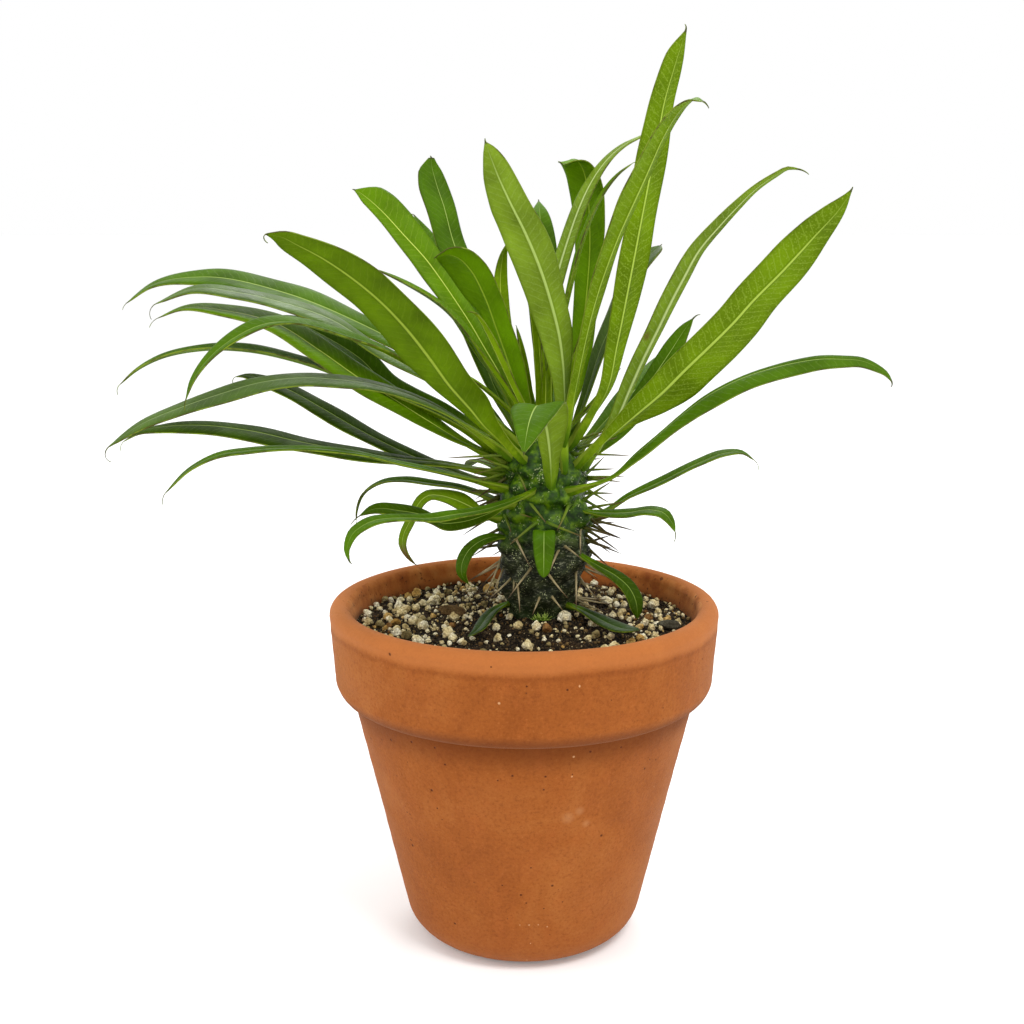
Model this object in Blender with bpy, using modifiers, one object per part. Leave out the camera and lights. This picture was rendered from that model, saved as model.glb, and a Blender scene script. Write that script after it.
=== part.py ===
"""Potted pachypodium: a thorny green stem with a crown of long leaves, in a clay pot.

Metres, +Z up. The origin is the middle of the pot's foot, on the pot's axis.
The tables below are in millimetres and degrees, and MM turns them into metres.
"""
import math
from collections import namedtuple

import bmesh
import bpy
import numpy as np
from mathutils import Vector, noise

MM = 0.001
GAP = 0.3                     # between pieces that touch on the real plant
TURNED_STEPS = 56             # facets round the pot and the potting mix
MERGE = 0.00001               # m, what a Screw modifier joins at its seam

# Clay pot, a standard 13 cm one
POT_HEIGHT = 116.0
RIM_RADIUS = 65.0
LIP_ROUNDING = 3.6
COLLAR_RADIUS = 63.4
COLLAR_BOTTOM = 84.6
COLLAR_ROUNDING = 6.8
BODY_TOP_RADIUS = 57.6
BODY_FOOT_RADIUS = 38.2       # where the body's straight side would meet the floor
FOOT_RADIUS = 27.7            # edge of the flat that the pot stands on
FOOT_ROUNDING = 13.0
FLOOR_THICKNESS = 7.0
INNER_FLOOR_RADIUS = 33.0
INNER_ROUNDING = 5.0
DRAIN_RADIUS = 6.5

# Potting mix
MIX_EDGE_HEIGHT = 107.6
MIX_MOUND = 2.8               # how much higher it lies round the stem
MIX_RINGS = 8
MIX_LUMP = 0.7

# Stem
STEM_FOOT = (5.0, 4.0)        # where its axis leaves the potting mix
STEM_HEAD = (7.0, 4.0)        # its axis from the lowest leaves up
STEM_LEAN_HEIGHTS = (112.0, 134.0)
STEM_TOP = 173.0
STEM_PROFILE = (              # radius, height
    (0.0, 96.0), (5.5, 96.6), (8.2, 100.0), (9.2, 106.0), (10.0, 112.0), (12.2, 119.0),
    (13.6, 127.0), (13.9, 136.0), (13.2, 146.0), (11.8, 154.0), (10.2, 161.0),
    (8.4, 166.0), (6.0, 170.0), (3.2, 172.4), (0.0, STEM_TOP))
STEM_STEPS = 36
STEM_RING_SPACING = 2.4
KNOB_COUNT = 44               # low knobs in a spiral, each with its spines
KNOB_TURN = 137.5
KNOB_BOTTOM, KNOB_TOP = 115.0, 167.0
KNOB_HEIGHT = 1.5
KNOB_SPREAD = 3.4
SPINE_LENGTH = 12.0
SPINE_RADIUS = 0.6
SPINE_SPREAD = 24.0           # angle between the two spines of a knob
SPINE_SEAT = 1.2              # how deep a spine is rooted
SPINE_PITCH = (-48.0, 14.0)   # its slope at the lowest and at the highest knob

# Leaves
LEAF_THICKNESS = 0.9
LEAF_STATION = 9.0            # spacing of a leaf's cross sections
WIDEST = 0.62                 # share of its length at which a blade is widest
TIP_SHARE = 0.05

# heading: compass angle of the root about the stem, 0 at +X and 90 at +Y
# swing: how much further round the tip lies, fold: how far each half rises from flat,
# roll: tilt of the whole blade about its midrib, twist: roll gained towards the tip,
# path: (reach from the stem's axis, height) of points along the midrib, root to tip
Leaf = namedtuple("Leaf", "name heading swing width neck fold roll twist path")
LEAVES = (
    Leaf("leaf_left_01", 172, 0, 15, 0.17, 5, -14, 0, ((10, 170), (40, 195), (62, 207), (88, 217),
        (116, 222), (134, 219), (143, 213))),
    Leaf("leaf_left_02", 187, 0, 12, 0.17, 0, -16, 0, ((10, 168), (38, 190), (54, 199), (69, 209),
        (85, 215), (98, 218), (112, 219.5), (123, 215))),
    Leaf("leaf_left_03", 186, 0, 15, 0.17, 5, -55, 50, ((10, 166), (38, 182), (61, 191), (73, 199),
        (87, 208), (102, 212), (116, 213), (124, 210))),
    Leaf("leaf_left_04", 168, 0, 14, 0.22, 8, -45, 20, ((10, 166), (16, 169), (26, 175), (36, 180),
        (47, 185), (54, 188), (64, 197), (75, 203), (88, 208), (98, 209))),
    Leaf("leaf_left_05", 208, 0, 11, 0.17, 15, -14, 0, ((7, 167), (45, 191), (59, 198), (72, 206),
        (84, 211), (95, 212), (104, 207), (111, 200), (116, 195), (120, 189))),
    Leaf("leaf_left_06", 184, 0, 8, 0.4, 20, -5, 0, ((10, 162), (38, 179), (51, 184), (65, 189),
        (80, 195), (97, 199), (110, 200), (125, 197.5), (133, 193), (139, 188))),
    Leaf("leaf_left_07", 163, 0, 8, 0.4, 0, -18, 0, ((9, 151.5), (26, 156), (44, 161), (66, 170),
        (81, 177), (92, 182), (103, 185), (110, 186))),
    Leaf("leaf_left_08", 202, 0, 12, 0.6, -3, -16, 0, ((11, 160.5), (20, 165.5), (27, 169.5), (37, 176),
        (50, 182.5), (60, 187), (69, 190.5), (82, 192.5), (94, 192), (108, 189), (119, 186.5),
        (131, 181), (140, 174))),
    Leaf("leaf_left_09", 178, 0, 12, 0.3, -5, -14, 0, ((12, 158), (22, 159), (35, 161), (48, 162),
        (62, 164), (82, 168), (98, 172), (115, 174), (128, 173), (136, 171), (141, 168))),
    Leaf("leaf_left_10", 203, 0, 8, 0.5, 5, -6, 0, ((9, 153.5), (20, 156), (27, 158), (37, 161),
        (51, 165), (64, 169), (77, 171), (99, 172), (109, 170), (117, 166), (124, 159))),
    Leaf("leaf_low_01", 165, 0, 6, 0.45, 15, -10, 0, ((14, 147), (23, 150), (30, 152), (40, 153),
        (51, 154), (58, 152), (64, 147), (66, 140))),
    Leaf("leaf_low_02", 200, 0, 8, 0.35, 5, -50, 30, ((14, 144), (23, 147), (29, 151), (37, 152),
        (42, 151), (46, 147), (49, 142), (49, 136), (46, 131))),
    Leaf("leaf_low_03", 225, 0, 7, 0.4, 5, -35, 0, ((12, 149), (16, 150), (26, 148), (39, 147),
        (47, 148), (53, 151), (63, 154), (75, 156), (79, 155))),
    Leaf("leaf_low_04", 255, -20, 5, 0.6, 10, -20, 0, ((11, 155), (21, 154), (33, 153), (43, 153),
        (61, 155), (80, 158), (90, 158), (97, 156), (100, 152), (98, 147))),
    Leaf("leaf_low_05", 205, 0, 5, 0.6, 5, -30, 0, ((12, 136), (18, 138), (24, 137), (29, 134),
        (31, 130), (31, 127), (28, 123))),
    Leaf("leaf_low_06", 190, 46, 5, 0.5, 5, -10, 0, ((10.5, 114.6), (17, 114), (26, 113.4), (36, 112.8),
        (44, 112.4))),
    Leaf("leaf_low_07", 324, -15, 5, 0.5, 5, 10, 0, ((8.5, 114.8), (15, 114), (22, 113.4), (31, 112.8),
        (38, 112.4))),
    Leaf("leaf_front_01", 268, 0, 7, 0.3, 5, 0, 0, ((15, 141), (19, 142), (21, 140), (22, 135),
        (23, 128))),
    Leaf("leaf_front_02", 283, -17, 15, 0.3, 10, 0, 0, ((11, 155), (19, 166), (32, 181), (46, 189),
        (62, 187), (74, 180))),
    Leaf("leaf_front_03", 318, 0, 6, 0.4, 5, 10, 0, ((14, 134), (24, 131), (32, 129), (37, 126),
        (40, 121), (40, 116))),
    Leaf("leaf_right_01", 330, 0, 6, 0.4, 0, 15, 0, ((11, 147), (21, 147), (31, 148), (39, 149),
        (43, 148), (45, 146), (46, 144))),
    Leaf("leaf_right_02", 0, 0, 6, 0.4, 10, 10, 0, ((12, 145), (19, 145), (28, 151), (39, 156),
        (51, 162), (60, 165), (65, 164), (69, 162))),
    Leaf("leaf_right_03", 300, 42, 13, 0.4, -8, 18, 0, ((11, 154), (19, 156), (25, 157.5), (31, 161.5),
        (36, 167), (48, 179), (61, 187.5), (70, 192.5), (82, 197), (93, 199), (102, 198), (110, 193))),
    Leaf("leaf_right_04", 322, 0, 15, 0.17, 10, -45, 0, ((11, 162), (26, 171), (36, 178), (52, 193),
        (66, 206), (83, 224.5), (92, 235), (99, 243), (104, 249.5))),
    Leaf("leaf_right_05", 15, 0, 11, 0.17, 10, 40, 0, ((11, 158), (22, 165), (28, 173), (35, 182),
        (41, 192), (45, 199), (49, 204), (52, 208))),
    Leaf("leaf_right_06", 345, 0, 9, 0.3, 10, -20, 0, ((11, 159.5), (22, 175), (29.5, 192), (37.5, 208),
        (45.5, 224), (56, 240), (65, 248), (72, 253), (78, 256), (80, 255.5))),
    Leaf("leaf_top_01", 325, 0, 17, 0.17, 10, -6, 0, ((7.5, 166.5), (23, 184), (28, 203), (33, 222),
        (36, 240), (39, 255), (41, 270), (44, 283), (49, 295))),
    Leaf("leaf_top_02", 300, 0, 13, 0.17, 10, 15, 0, ((10, 168), (18, 184), (25, 201), (32, 215),
        (39, 230), (47, 242), (54, 252), (61, 260), (70, 269), (77, 272.5), (83, 271))),
    Leaf("leaf_top_03", 150, -122, 8, 0.17, 8, 0, 0, ((3, 173), (6, 194), (10, 214), (11, 228),
        (13, 238), (17, 246), (20, 253), (26, 260), (35, 268))),
    Leaf("leaf_top_04", 325, 50, 5, 0.3, 25, 0, 0, ((4.5, 170.5), (6, 180), (6, 190), (6, 205),
        (7, 220), (9, 227), (12, 234), (15, 241), (19, 248), (24, 254), (29, 259))),
    Leaf("leaf_top_05", 55, 0, 13, 0.25, 10, 0, 0, ((8, 171), (20, 180), (24, 200), (26, 219),
        (28, 235), (26, 248), (21, 257), (15, 261), (8, 260))),
    Leaf("leaf_top_06", 28, 0, 11, 0.17, 10, 0, 0, ((9, 168), (15, 182), (22, 200), (27, 209),
        (32, 219), (38, 227), (44, 232))),
    Leaf("leaf_top_07", 292, -46, 15, 0.17, 10, 0, 0, ((11, 160), (12, 180), (16, 200), (22, 220),
        (30, 238), (39, 254), (46, 264))),
    Leaf("leaf_top_08", 154, 0, 14, 0.17, 10, -40, 0, ((8, 169), (21, 190), (29, 203), (40, 218),
        (51, 231), (60, 241), (68, 248), (76, 251))),
    Leaf("leaf_top_09", 205, 0, 12, 0.2, 5, 30, 0, ((6, 172), (11, 186), (15, 203), (21, 216),
        (26, 224), (31, 229), (38, 231))),
    Leaf("leaf_top_10", 130, 7, 16, 0.25, 10, -8, 0, ((9, 167), (20, 187), (30, 203), (37, 216),
        (42, 229), (48, 240), (52, 248), (55, 256), (54, 261))),
    Leaf("leaf_top_11", 168, 0, 4, 0.4, 20, 0, 0, ((8, 172), (14, 188), (19, 197), (25, 205), (31, 211),
        (37, 215), (46, 219), (58, 225))),
    Leaf("leaf_top_12", 236, -16, 16, 0.32, 5, 34, 0, ((8, 163), (19, 169), (28, 176), (39, 186),
        (47, 195), (57, 207), (68, 218), (80, 227), (90, 233), (97, 235), (103, 233))),
    Leaf("leaf_top_13", 128, 0, 12, 0.17, 10, 0, 0, ((10, 166), (26, 182), (42, 206), (50, 218),
        (60, 228), (69, 236), (75, 242))),
    Leaf("leaf_top_14", 91, 6, 14, 0.17, 10, 0, 0, ((6, 172), (14, 190), (22, 210), (30, 229),
        (38, 242), (46, 247))),
    Leaf("leaf_top_15", 115, -4, 6, 0.3, 20, 0, 0, ((6, 174), (18, 178), (28, 188), (36, 201),
        (41, 213), (42, 221), (39, 229), (35, 233))),
    Leaf("leaf_young_01", 228, 0, 6, 0.4, 30, 20, 0, ((4, 172), (13, 185), (22, 200), (28, 207),
        (31, 211), (35, 213), (39, 213))),
    Leaf("leaf_young_02", 180, 0, 4, 0.6, 40, 0, 0, ((1, 173), (2, 182), (3, 192), (4, 201))),
    Leaf("leaf_young_03", 270, 0, 4, 0.6, 40, 0, 0, ((4, 172), (4, 180), (4, 188), (5, 193))),
    Leaf("leaf_back_01", 80, 0, 14, 0.17, 10, 0, 0, ((9, 164), (25, 175), (45, 185), (70, 190),
        (90, 187), (100, 182))),
    Leaf("leaf_back_02", 100, 0, 14, 0.17, 10, 0, 0, ((10, 158), (28, 168), (50, 176), (72, 180),
        (90, 178), (100, 174))),
    Leaf("leaf_back_03", 142, 0, 12, 0.17, 10, 0, 0, ((10, 164), (26, 178), (46, 192), (62, 201),
        (74, 205), (82, 202))),
    Leaf("leaf_back_04", 124, 0, 10, 0.17, 10, 0, 0, ((11, 152), (28, 160), (46, 166), (60, 166),
        (70, 161))),
    Leaf("leaf_back_05", 40, 0, 14, 0.17, 10, 0, 0, ((10, 160), (26, 172), (44, 184), (62, 193),
        (78, 197), (88, 196))),
    Leaf("leaf_back_06", 106, 0, 7, 0.3, 10, 0, 0, ((15, 140), (26, 145), (38, 146), (47, 141),
        (52, 133))),
    Leaf("leaf_back_07", 76, 0, 8, 0.17, 10, 0, 0, ((12, 145.5), (28, 150), (42, 149), (53, 141))),
)


# ---------------------------------------------------------------- shared helpers

def clear_scene():
    for thing in list(bpy.data.objects):
        bpy.data.objects.remove(thing, do_unlink=True)


def new_collection(name, hidden=False):
    group = bpy.data.collections.new(name)
    bpy.context.scene.collection.children.link(group)
    group.hide_render = hidden
    return group


def new_material(name, color, roughness):
    material = bpy.data.materials.new(name)
    material.use_nodes = True
    shader = material.node_tree.nodes["Principled BSDF"]
    shader.inputs["Base Color"].default_value = (*color, 1.0)
    shader.inputs["Roughness"].default_value = roughness
    shader.inputs["Metallic"].default_value = 0.0
    return material


def new_object(name, mesh, group, material=None):
    thing = bpy.data.objects.new(name, mesh)
    group.objects.link(thing)
    if material:
        mesh.materials.clear()
        mesh.materials.append(material)
    return thing


def shade(mesh):
    mesh.shade_smooth()
    mesh.set_sharp_from_angle(angle=math.radians(40))


def evaluated_mesh(thing):
    """The mesh that an object's modifiers give, as a mesh of its own."""
    depsgraph = bpy.context.evaluated_depsgraph_get()
    depsgraph.update()
    return bpy.data.meshes.new_from_object(thing.evaluated_get(depsgraph))


def arc(centre, radius, start, end, count):
    """Points of an arc in the (radius, height) half plane, angles in degrees."""
    angles = np.radians(np.linspace(start, end, count))
    return [(centre[0] + radius * math.cos(a), centre[1] + radius * math.sin(a)) for a in angles]


def turned(name, profile, steps, group):
    """A profile in millimetres, turned about Z."""
    mesh = bpy.data.meshes.new(name)
    points = [(r * MM, 0.0, z * MM) for r, z in profile]
    mesh.from_pydata(points, [(i, i + 1) for i in range(len(points) - 1)], [])
    thing = new_object(name, mesh, group)
    screw = thing.modifiers.new("turn", "SCREW")
    screw.axis = "Z"
    screw.angle = math.tau
    screw.steps = steps
    screw.render_steps = steps
    screw.use_merge_vertices = True
    screw.merge_threshold = MERGE
    return thing


def boolean(thing, operation, tool, overlapping=False):
    modifier = thing.modifiers.new(operation.lower(), "BOOLEAN")
    modifier.operation = operation
    modifier.solver = "EXACT"
    modifier.use_self = overlapping
    modifier.object = tool
    tool.hide_render = True
    tool.display_type = "WIRE"


def smooth_step(share):
    share = np.clip(share, 0.0, 1.0)
    return share * share * (3.0 - 2.0 * share)


# ---------------------------------------------------------------- clay pot

def pot_side_radius(height):
    return BODY_FOOT_RADIUS + (BODY_TOP_RADIUS - BODY_FOOT_RADIUS) * height / COLLAR_BOTTOM


def pot_bore_slope():
    """How much the bore's radius grows for each unit of height."""
    rim = RIM_RADIUS - 2.0 * LIP_ROUNDING
    return (rim - INNER_FLOOR_RADIUS) / (POT_HEIGHT - LIP_ROUNDING - FLOOR_THICKNESS)


def pot_bore_radius(height):
    """Radius of the pot's inner wall."""
    return INNER_FLOOR_RADIUS + pot_bore_slope() * (height - FLOOR_THICKNESS)


def pot_inner_corner():
    """Centre of the rounding between the inner floor and the bore."""
    slope = pot_bore_slope()
    return (INNER_FLOOR_RADIUS + INNER_ROUNDING * (slope - math.hypot(1.0, slope)),
            FLOOR_THICKNESS + INNER_ROUNDING)


def pot_profile():
    """From the middle of the inner floor, up the bore, over the lip and down outside."""
    slope = math.degrees(math.atan((BODY_TOP_RADIUS - BODY_FOOT_RADIUS) / COLLAR_BOTTOM))
    lip = (RIM_RADIUS - LIP_ROUNDING, POT_HEIGHT - LIP_ROUNDING)
    collar = (COLLAR_RADIUS - COLLAR_ROUNDING, COLLAR_BOTTOM + COLLAR_ROUNDING)
    collar_end = -math.degrees(math.acos((BODY_TOP_RADIUS - collar[0]) / COLLAR_ROUNDING))
    foot = (FOOT_RADIUS, FOOT_ROUNDING)
    profile = [(0.0, FLOOR_THICKNESS)]
    bore_slope = math.degrees(math.atan(pot_bore_slope()))
    profile += arc(pot_inner_corner(), INNER_ROUNDING, -90, -bore_slope, 4)
    profile += [(pot_bore_radius(60.0), 60.0)]
    profile += arc(lip, LIP_ROUNDING, 180, 0, 9)
    profile += arc(collar, COLLAR_ROUNDING, 0, collar_end, 6)
    profile += [(pot_side_radius(60.0), 60.0), (pot_side_radius(35.0), 35.0)]
    profile += arc(foot, FOOT_ROUNDING, -slope, -90, 5)
    profile += [(0.0, 0.0)]
    return profile


def make_pot(parts, cutters, clay):
    pot = turned("clay_pot", pot_profile(), TURNED_STEPS, parts)
    bpy.ops.mesh.primitive_cylinder_add(vertices=24, radius=DRAIN_RADIUS * MM,
                                        depth=3.0 * FLOOR_THICKNESS * MM)
    hole = bpy.context.active_object
    hole.name = "drain_hole"
    for owner in list(hole.users_collection):
        owner.objects.unlink(hole)
    cutters.objects.link(hole)
    boolean(pot, "DIFFERENCE", hole)
    pot.data.materials.append(clay)
    return pot


# ---------------------------------------------------------------- stem

def stem_axis(height):
    """The stem's centre at a height."""
    low, high = STEM_LEAN_HEIGHTS
    share = smooth_step((height - low) / (high - low))
    return (STEM_FOOT[0] + (STEM_HEAD[0] - STEM_FOOT[0]) * share,
            STEM_FOOT[1] + (STEM_HEAD[1] - STEM_FOOT[1]) * share)


def dense_profile(profile, spacing):
    """The profile with points no further apart than the spacing, on a smooth curve."""
    points = np.array(profile)
    length = np.linalg.norm(np.diff(points, axis=0), axis=1).sum()
    return smooth_path(points, int(math.ceil(length / spacing)) + 1)


def smooth_path(points, count):
    """Evenly spread points on a smooth curve through the given ones."""
    points = np.asarray(points, dtype=float)
    chords = np.linalg.norm(np.diff(points, axis=0), axis=1)
    knots = np.concatenate([[0.0], np.cumsum(chords)])
    slopes = np.gradient(points, knots, axis=0)
    places = np.linspace(0.0, knots[-1], count)
    index = np.clip(np.searchsorted(knots, places, side="right") - 1, 0, len(chords) - 1)
    width = chords[index][:, None]
    u = (places - knots[index])[:, None] / width
    start, end = points[index], points[index + 1]
    return (start * (2 * u ** 3 - 3 * u ** 2 + 1) + slopes[index] * width * (u ** 3 - 2 * u ** 2 + u)
            + end * (3 * u ** 2 - 2 * u ** 3) + slopes[index + 1] * width * (u ** 3 - u ** 2))


def knobs():
    """Angle in degrees, height and size of each knob, in a spiral up the stem."""
    spots = []
    for i in range(KNOB_COUNT):
        share = i / (KNOB_COUNT - 1)
        height = KNOB_BOTTOM + (KNOB_TOP - KNOB_BOTTOM) * share
        spots.append((KNOB_TURN * i % 360.0, height, 1.0 - 0.55 * share))
    return spots


def knob_rise(angle, height, radius):
    """How far the knobs push the stem's surface outwards."""
    rise = 0.0
    for knob_angle, knob_height, size in KNOBS:
        turn = (angle - knob_angle + 180.0) % 360.0 - 180.0
        along = math.radians(turn) * radius
        distance = (along ** 2 + (height - knob_height) ** 2) / KNOB_SPREAD ** 2
        if distance < 6.0:
            rise = max(rise, KNOB_HEIGHT * size * math.exp(-distance))
    return rise


def stem_radius(angle, height):
    """Radius of the stem's surface at an angle and height."""
    side = [point for point in STEM_PROFILE if point[1] >= STEM_PROFILE[1][1]]
    radius = float(np.interp(height, [p[1] for p in side], [p[0] for p in side]))
    return radius + knob_rise(angle, height, max(radius, 1.0))


def spines():
    """Root, direction and length of each spine, two or three to a knob."""
    found = []
    for i, (angle, height, size) in enumerate(KNOBS):
        share = (height - KNOB_BOTTOM) / (KNOB_TOP - KNOB_BOTTOM)
        pitch = SPINE_PITCH[0] + (SPINE_PITCH[1] - SPINE_PITCH[0]) * share
        pitch += 9.0 * math.sin(2.4 * i)
        centre = stem_axis(height)
        for side in (-0.5, 0.5):
            turn = math.radians(angle + side * SPINE_SPREAD * 0.45)
            aim = math.radians(angle + side * SPINE_SPREAD * 1.5 + 6.0 * math.sin(3.7 * i))
            slope = math.radians(pitch + side * 14.0 * math.cos(1.9 * i))
            out = Vector((math.cos(turn), math.sin(turn), 0.0))
            direction = Vector((math.cos(aim) * math.cos(slope), math.sin(aim) * math.cos(slope),
                                math.sin(slope)))
            surface = stem_radius(math.degrees(turn), height)
            root = Vector((centre[0], centre[1], height)) + out * (surface - SPINE_SEAT)
            length = SPINE_SEAT + SPINE_LENGTH * (0.8 + 0.2 * math.sin(5.1 * i + side))
            found.append((root, direction, length))
    return found


def mix_height(x, y):
    """Height of the potting mix's surface, in millimetres."""
    reach = math.hypot(x - STEM_FOOT[0], y - STEM_FOOT[1])
    mound = MIX_MOUND * math.exp(-(reach / 34.0) ** 2)
    lumps = noise.noise(Vector((x, y, 0.0)) * 0.13) + 0.5 * noise.noise(Vector((y, x, 7.0)) * 0.3)
    return MIX_EDGE_HEIGHT + mound + MIX_LUMP * lumps


def clear_of_leaves(root, direction, length, lines):
    """Whether a spine passes every leaf at a distance."""
    steps = np.linspace(0.15, 1.0, 9)[:, None]
    points = np.array(root) + steps * length * np.array(direction)
    for centres, halves in lines:
        apart = np.linalg.norm(points[:, None, :] - centres[None, :, :], axis=2) - halves[None, :]
        if apart.min() < SPINE_RADIUS + 0.9:
            return False
    return True


def spine_tool(lines, cutters):
    """All spines that leaves and potting mix leave room for, as one mesh of thin cones."""
    mesh = bmesh.new()
    for root, direction, length in spines():
        tip = root + direction * length
        if tip.z < mix_height(tip.x, tip.y) + 1.0 or not clear_of_leaves(root, direction, length, lines):
            continue
        turn = direction.to_track_quat("Z", "Y").to_matrix().to_4x4()
        turn.translation = (root + direction * length / 2.0) * MM
        bmesh.ops.create_cone(mesh, cap_ends=True, segments=4, radius1=SPINE_RADIUS * MM,
                              radius2=0.12 * MM, depth=length * MM, matrix=turn)
    data = bpy.data.meshes.new("spines")
    mesh.to_mesh(data)
    mesh.free()
    return new_object("spines", data, cutters)


def make_stem(parts, cutters, lines, green):
    blank = turned("stem_blank", dense_profile(STEM_PROFILE[::-1], STEM_RING_SPACING), STEM_STEPS,
                   cutters)
    mesh = evaluated_mesh(blank)
    bpy.data.objects.remove(blank, do_unlink=True)
    for vertex in mesh.vertices:
        x, y, z = vertex.co / MM
        radius = math.hypot(x, y)
        angle = math.degrees(math.atan2(y, x))
        grown = radius + (knob_rise(angle, z, max(radius, 1.0)) if radius > 0.5 else 0.0)
        scale = grown / radius if radius > 0.5 else 1.0
        centre = stem_axis(z)
        vertex.co = Vector((centre[0] + x * scale, centre[1] + y * scale, z)) * MM
    stem = new_object("stem", mesh, parts, green)
    boolean(stem, "UNION", spine_tool(lines, cutters), overlapping=True)
    return stem


# ---------------------------------------------------------------- potting mix

def make_potting_mix(parts, cutters, earth):
    bottom = FLOOR_THICKNESS + GAP
    corner = bottom + INNER_ROUNDING
    wall = pot_bore_radius(MIX_EDGE_HEIGHT) - 2.0 * GAP
    profile = [(wall * i / MIX_RINGS, MIX_EDGE_HEIGHT) for i in range(MIX_RINGS + 1)]
    profile += [(pot_bore_radius(60.0) - 2.0 * GAP, 60.0)]
    profile += [(pot_bore_radius(corner) - 2.0 * GAP, corner)]
    profile += [(pot_inner_corner()[0], bottom), (0.0, bottom)]
    blank = turned("mix_blank", profile, TURNED_STEPS, cutters)
    mesh = evaluated_mesh(blank)
    bpy.data.objects.remove(blank, do_unlink=True)
    for vertex in mesh.vertices:
        x, y, z = vertex.co / MM
        if z > MIX_EDGE_HEIGHT - 1.0:
            level = smooth_step((wall - math.hypot(x, y)) / 6.0)
            vertex.co.z = (MIX_EDGE_HEIGHT + (mix_height(x, y) - MIX_EDGE_HEIGHT) * level) * MM
    mix = new_object("potting_mix", mesh, parts, earth)

    socket = [(r + GAP if r else 0.0, z - (GAP if z < 97.0 else 0.0)) for r, z in STEM_PROFILE[:5]]
    top = STEM_PROFILE[5]
    socket += [(top[0] + GAP, top[1]), (0.0, top[1])]
    tool = turned("stem_socket", socket[::-1], STEM_STEPS, cutters)
    tool.location = (STEM_FOOT[0] * MM, STEM_FOOT[1] * MM, 0.0)
    boolean(mix, "DIFFERENCE", tool)
    return mix


# ---------------------------------------------------------------- leaves

def blade_share(share, neck):
    """Width of a leaf along its length, as a share of its widest place."""
    rising = np.sin(np.clip((share - 0.04) / (WIDEST - 0.04), 0.0, 1.0) * math.pi / 2) ** 1.6
    falling = np.clip(1.0 - np.clip((share - WIDEST) / (1.0 - WIDEST), 0.0, 1.0) ** 2.2, 0.0, 1.0) ** 0.9
    width = np.where(share < WIDEST, neck + (1.0 - neck) * rising, falling)
    return np.maximum(width, TIP_SHARE)


def leaf_frames(leaf, count):
    """Midrib points with the blade's sideways and upward directions and half width."""
    shares = np.linspace(0.0, 1.0, count)
    path = smooth_path(leaf.path, count)
    heading = np.radians(leaf.heading + leaf.swing * (1.0 - (1.0 - shares) ** 2))
    centres = np.stack([STEM_HEAD[0] + path[:, 0] * np.cos(heading),
                        STEM_HEAD[1] + path[:, 0] * np.sin(heading), path[:, 1]], axis=1)
    along = np.gradient(centres, axis=0)
    along /= np.linalg.norm(along, axis=1)[:, None]
    sideways = np.stack([-np.sin(heading), np.cos(heading), np.zeros(count)], axis=1)
    sideways -= along * (sideways * along).sum(axis=1)[:, None]
    sideways /= np.linalg.norm(sideways, axis=1)[:, None]
    upward = np.cross(along, sideways)
    roll = np.radians(leaf.roll * smooth_step(shares / 0.3) + leaf.twist * shares)[:, None]
    turned_side = sideways * np.cos(roll) + upward * np.sin(roll)
    turned_up = upward * np.cos(roll) - sideways * np.sin(roll)
    return centres, turned_side, turned_up, leaf.width / 2.0 * blade_share(shares, leaf.neck)


def first_free_station(centres, halves):
    """Where the midrib has come far enough out of the stem for the leaf's end to clear it."""
    for i, (x, y, z) in enumerate(centres):
        centre = stem_axis(z)
        angle = math.degrees(math.atan2(y - centre[1], x - centre[0]))
        apart = stem_distance(math.hypot(x - centre[0], y - centre[1]), z)
        rise = 0.75 * knob_rise(angle, z, max(math.hypot(x - centre[0], y - centre[1]) - 1.0, 1.0))
        if apart - rise > GAP + LEAF_THICKNESS / 2.0:
            return i
    return 0


def stem_distance(radius, height):
    """Distance of a point outside the stem from the stem's plain turned surface."""
    side = np.array(STEM_PROFILE)
    start, end = side[:-1], side[1:]
    step = end - start
    point = np.array((radius, height))
    share = np.clip(((point - start) * step).sum(axis=1) / (step ** 2).sum(axis=1), 0.0, 1.0)
    nearest = np.linalg.norm(start + share[:, None] * step - point, axis=1).min()
    inside = height < STEM_TOP and radius < np.interp(height, side[:, 1], side[:, 0])
    return -nearest if inside else nearest


def make_leaf(leaf, parts, green):
    """An open folded blade between the stem and the tip, thickened to a thin solid."""
    fine = 241
    centres, sideways, upward, halves = leaf_frames(leaf, fine)
    start = first_free_station(centres, halves)
    length = np.linalg.norm(np.diff(centres, axis=0), axis=1)[start:].sum()
    count = max(7, int(round(length / LEAF_STATION)) + 1)
    picked = np.unique(np.round(np.linspace(start, fine - 1, count)).astype(int))
    rise = math.sin(math.radians(leaf.fold))
    reach = math.cos(math.radians(leaf.fold))
    mesh = bmesh.new()
    rows = []
    for i in picked:
        edge = halves[i] * (sideways[i] * reach + upward[i] * rise)
        other = halves[i] * (-sideways[i] * reach + upward[i] * rise)
        row = [mesh.verts.new(Vector(centres[i] + offset) * MM) for offset in (edge, 0.0 * edge, other)]
        rows.append(row)
    for lower, upper in zip(rows, rows[1:]):
        mesh.faces.new((lower[0], lower[1], upper[1], upper[0]))
        mesh.faces.new((lower[1], lower[2], upper[2], upper[1]))
    data = bpy.data.meshes.new(leaf.name)
    mesh.to_mesh(data)
    mesh.free()
    blade = new_object(leaf.name, data, parts, green)
    solid = blade.modifiers.new("thickness", "SOLIDIFY")
    solid.thickness = LEAF_THICKNESS * MM
    solid.offset = 0.0
    solid.use_rim = True
    return centres[start:], halves[start:]


# ---------------------------------------------------------------- the whole plant

KNOBS = knobs()


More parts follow.
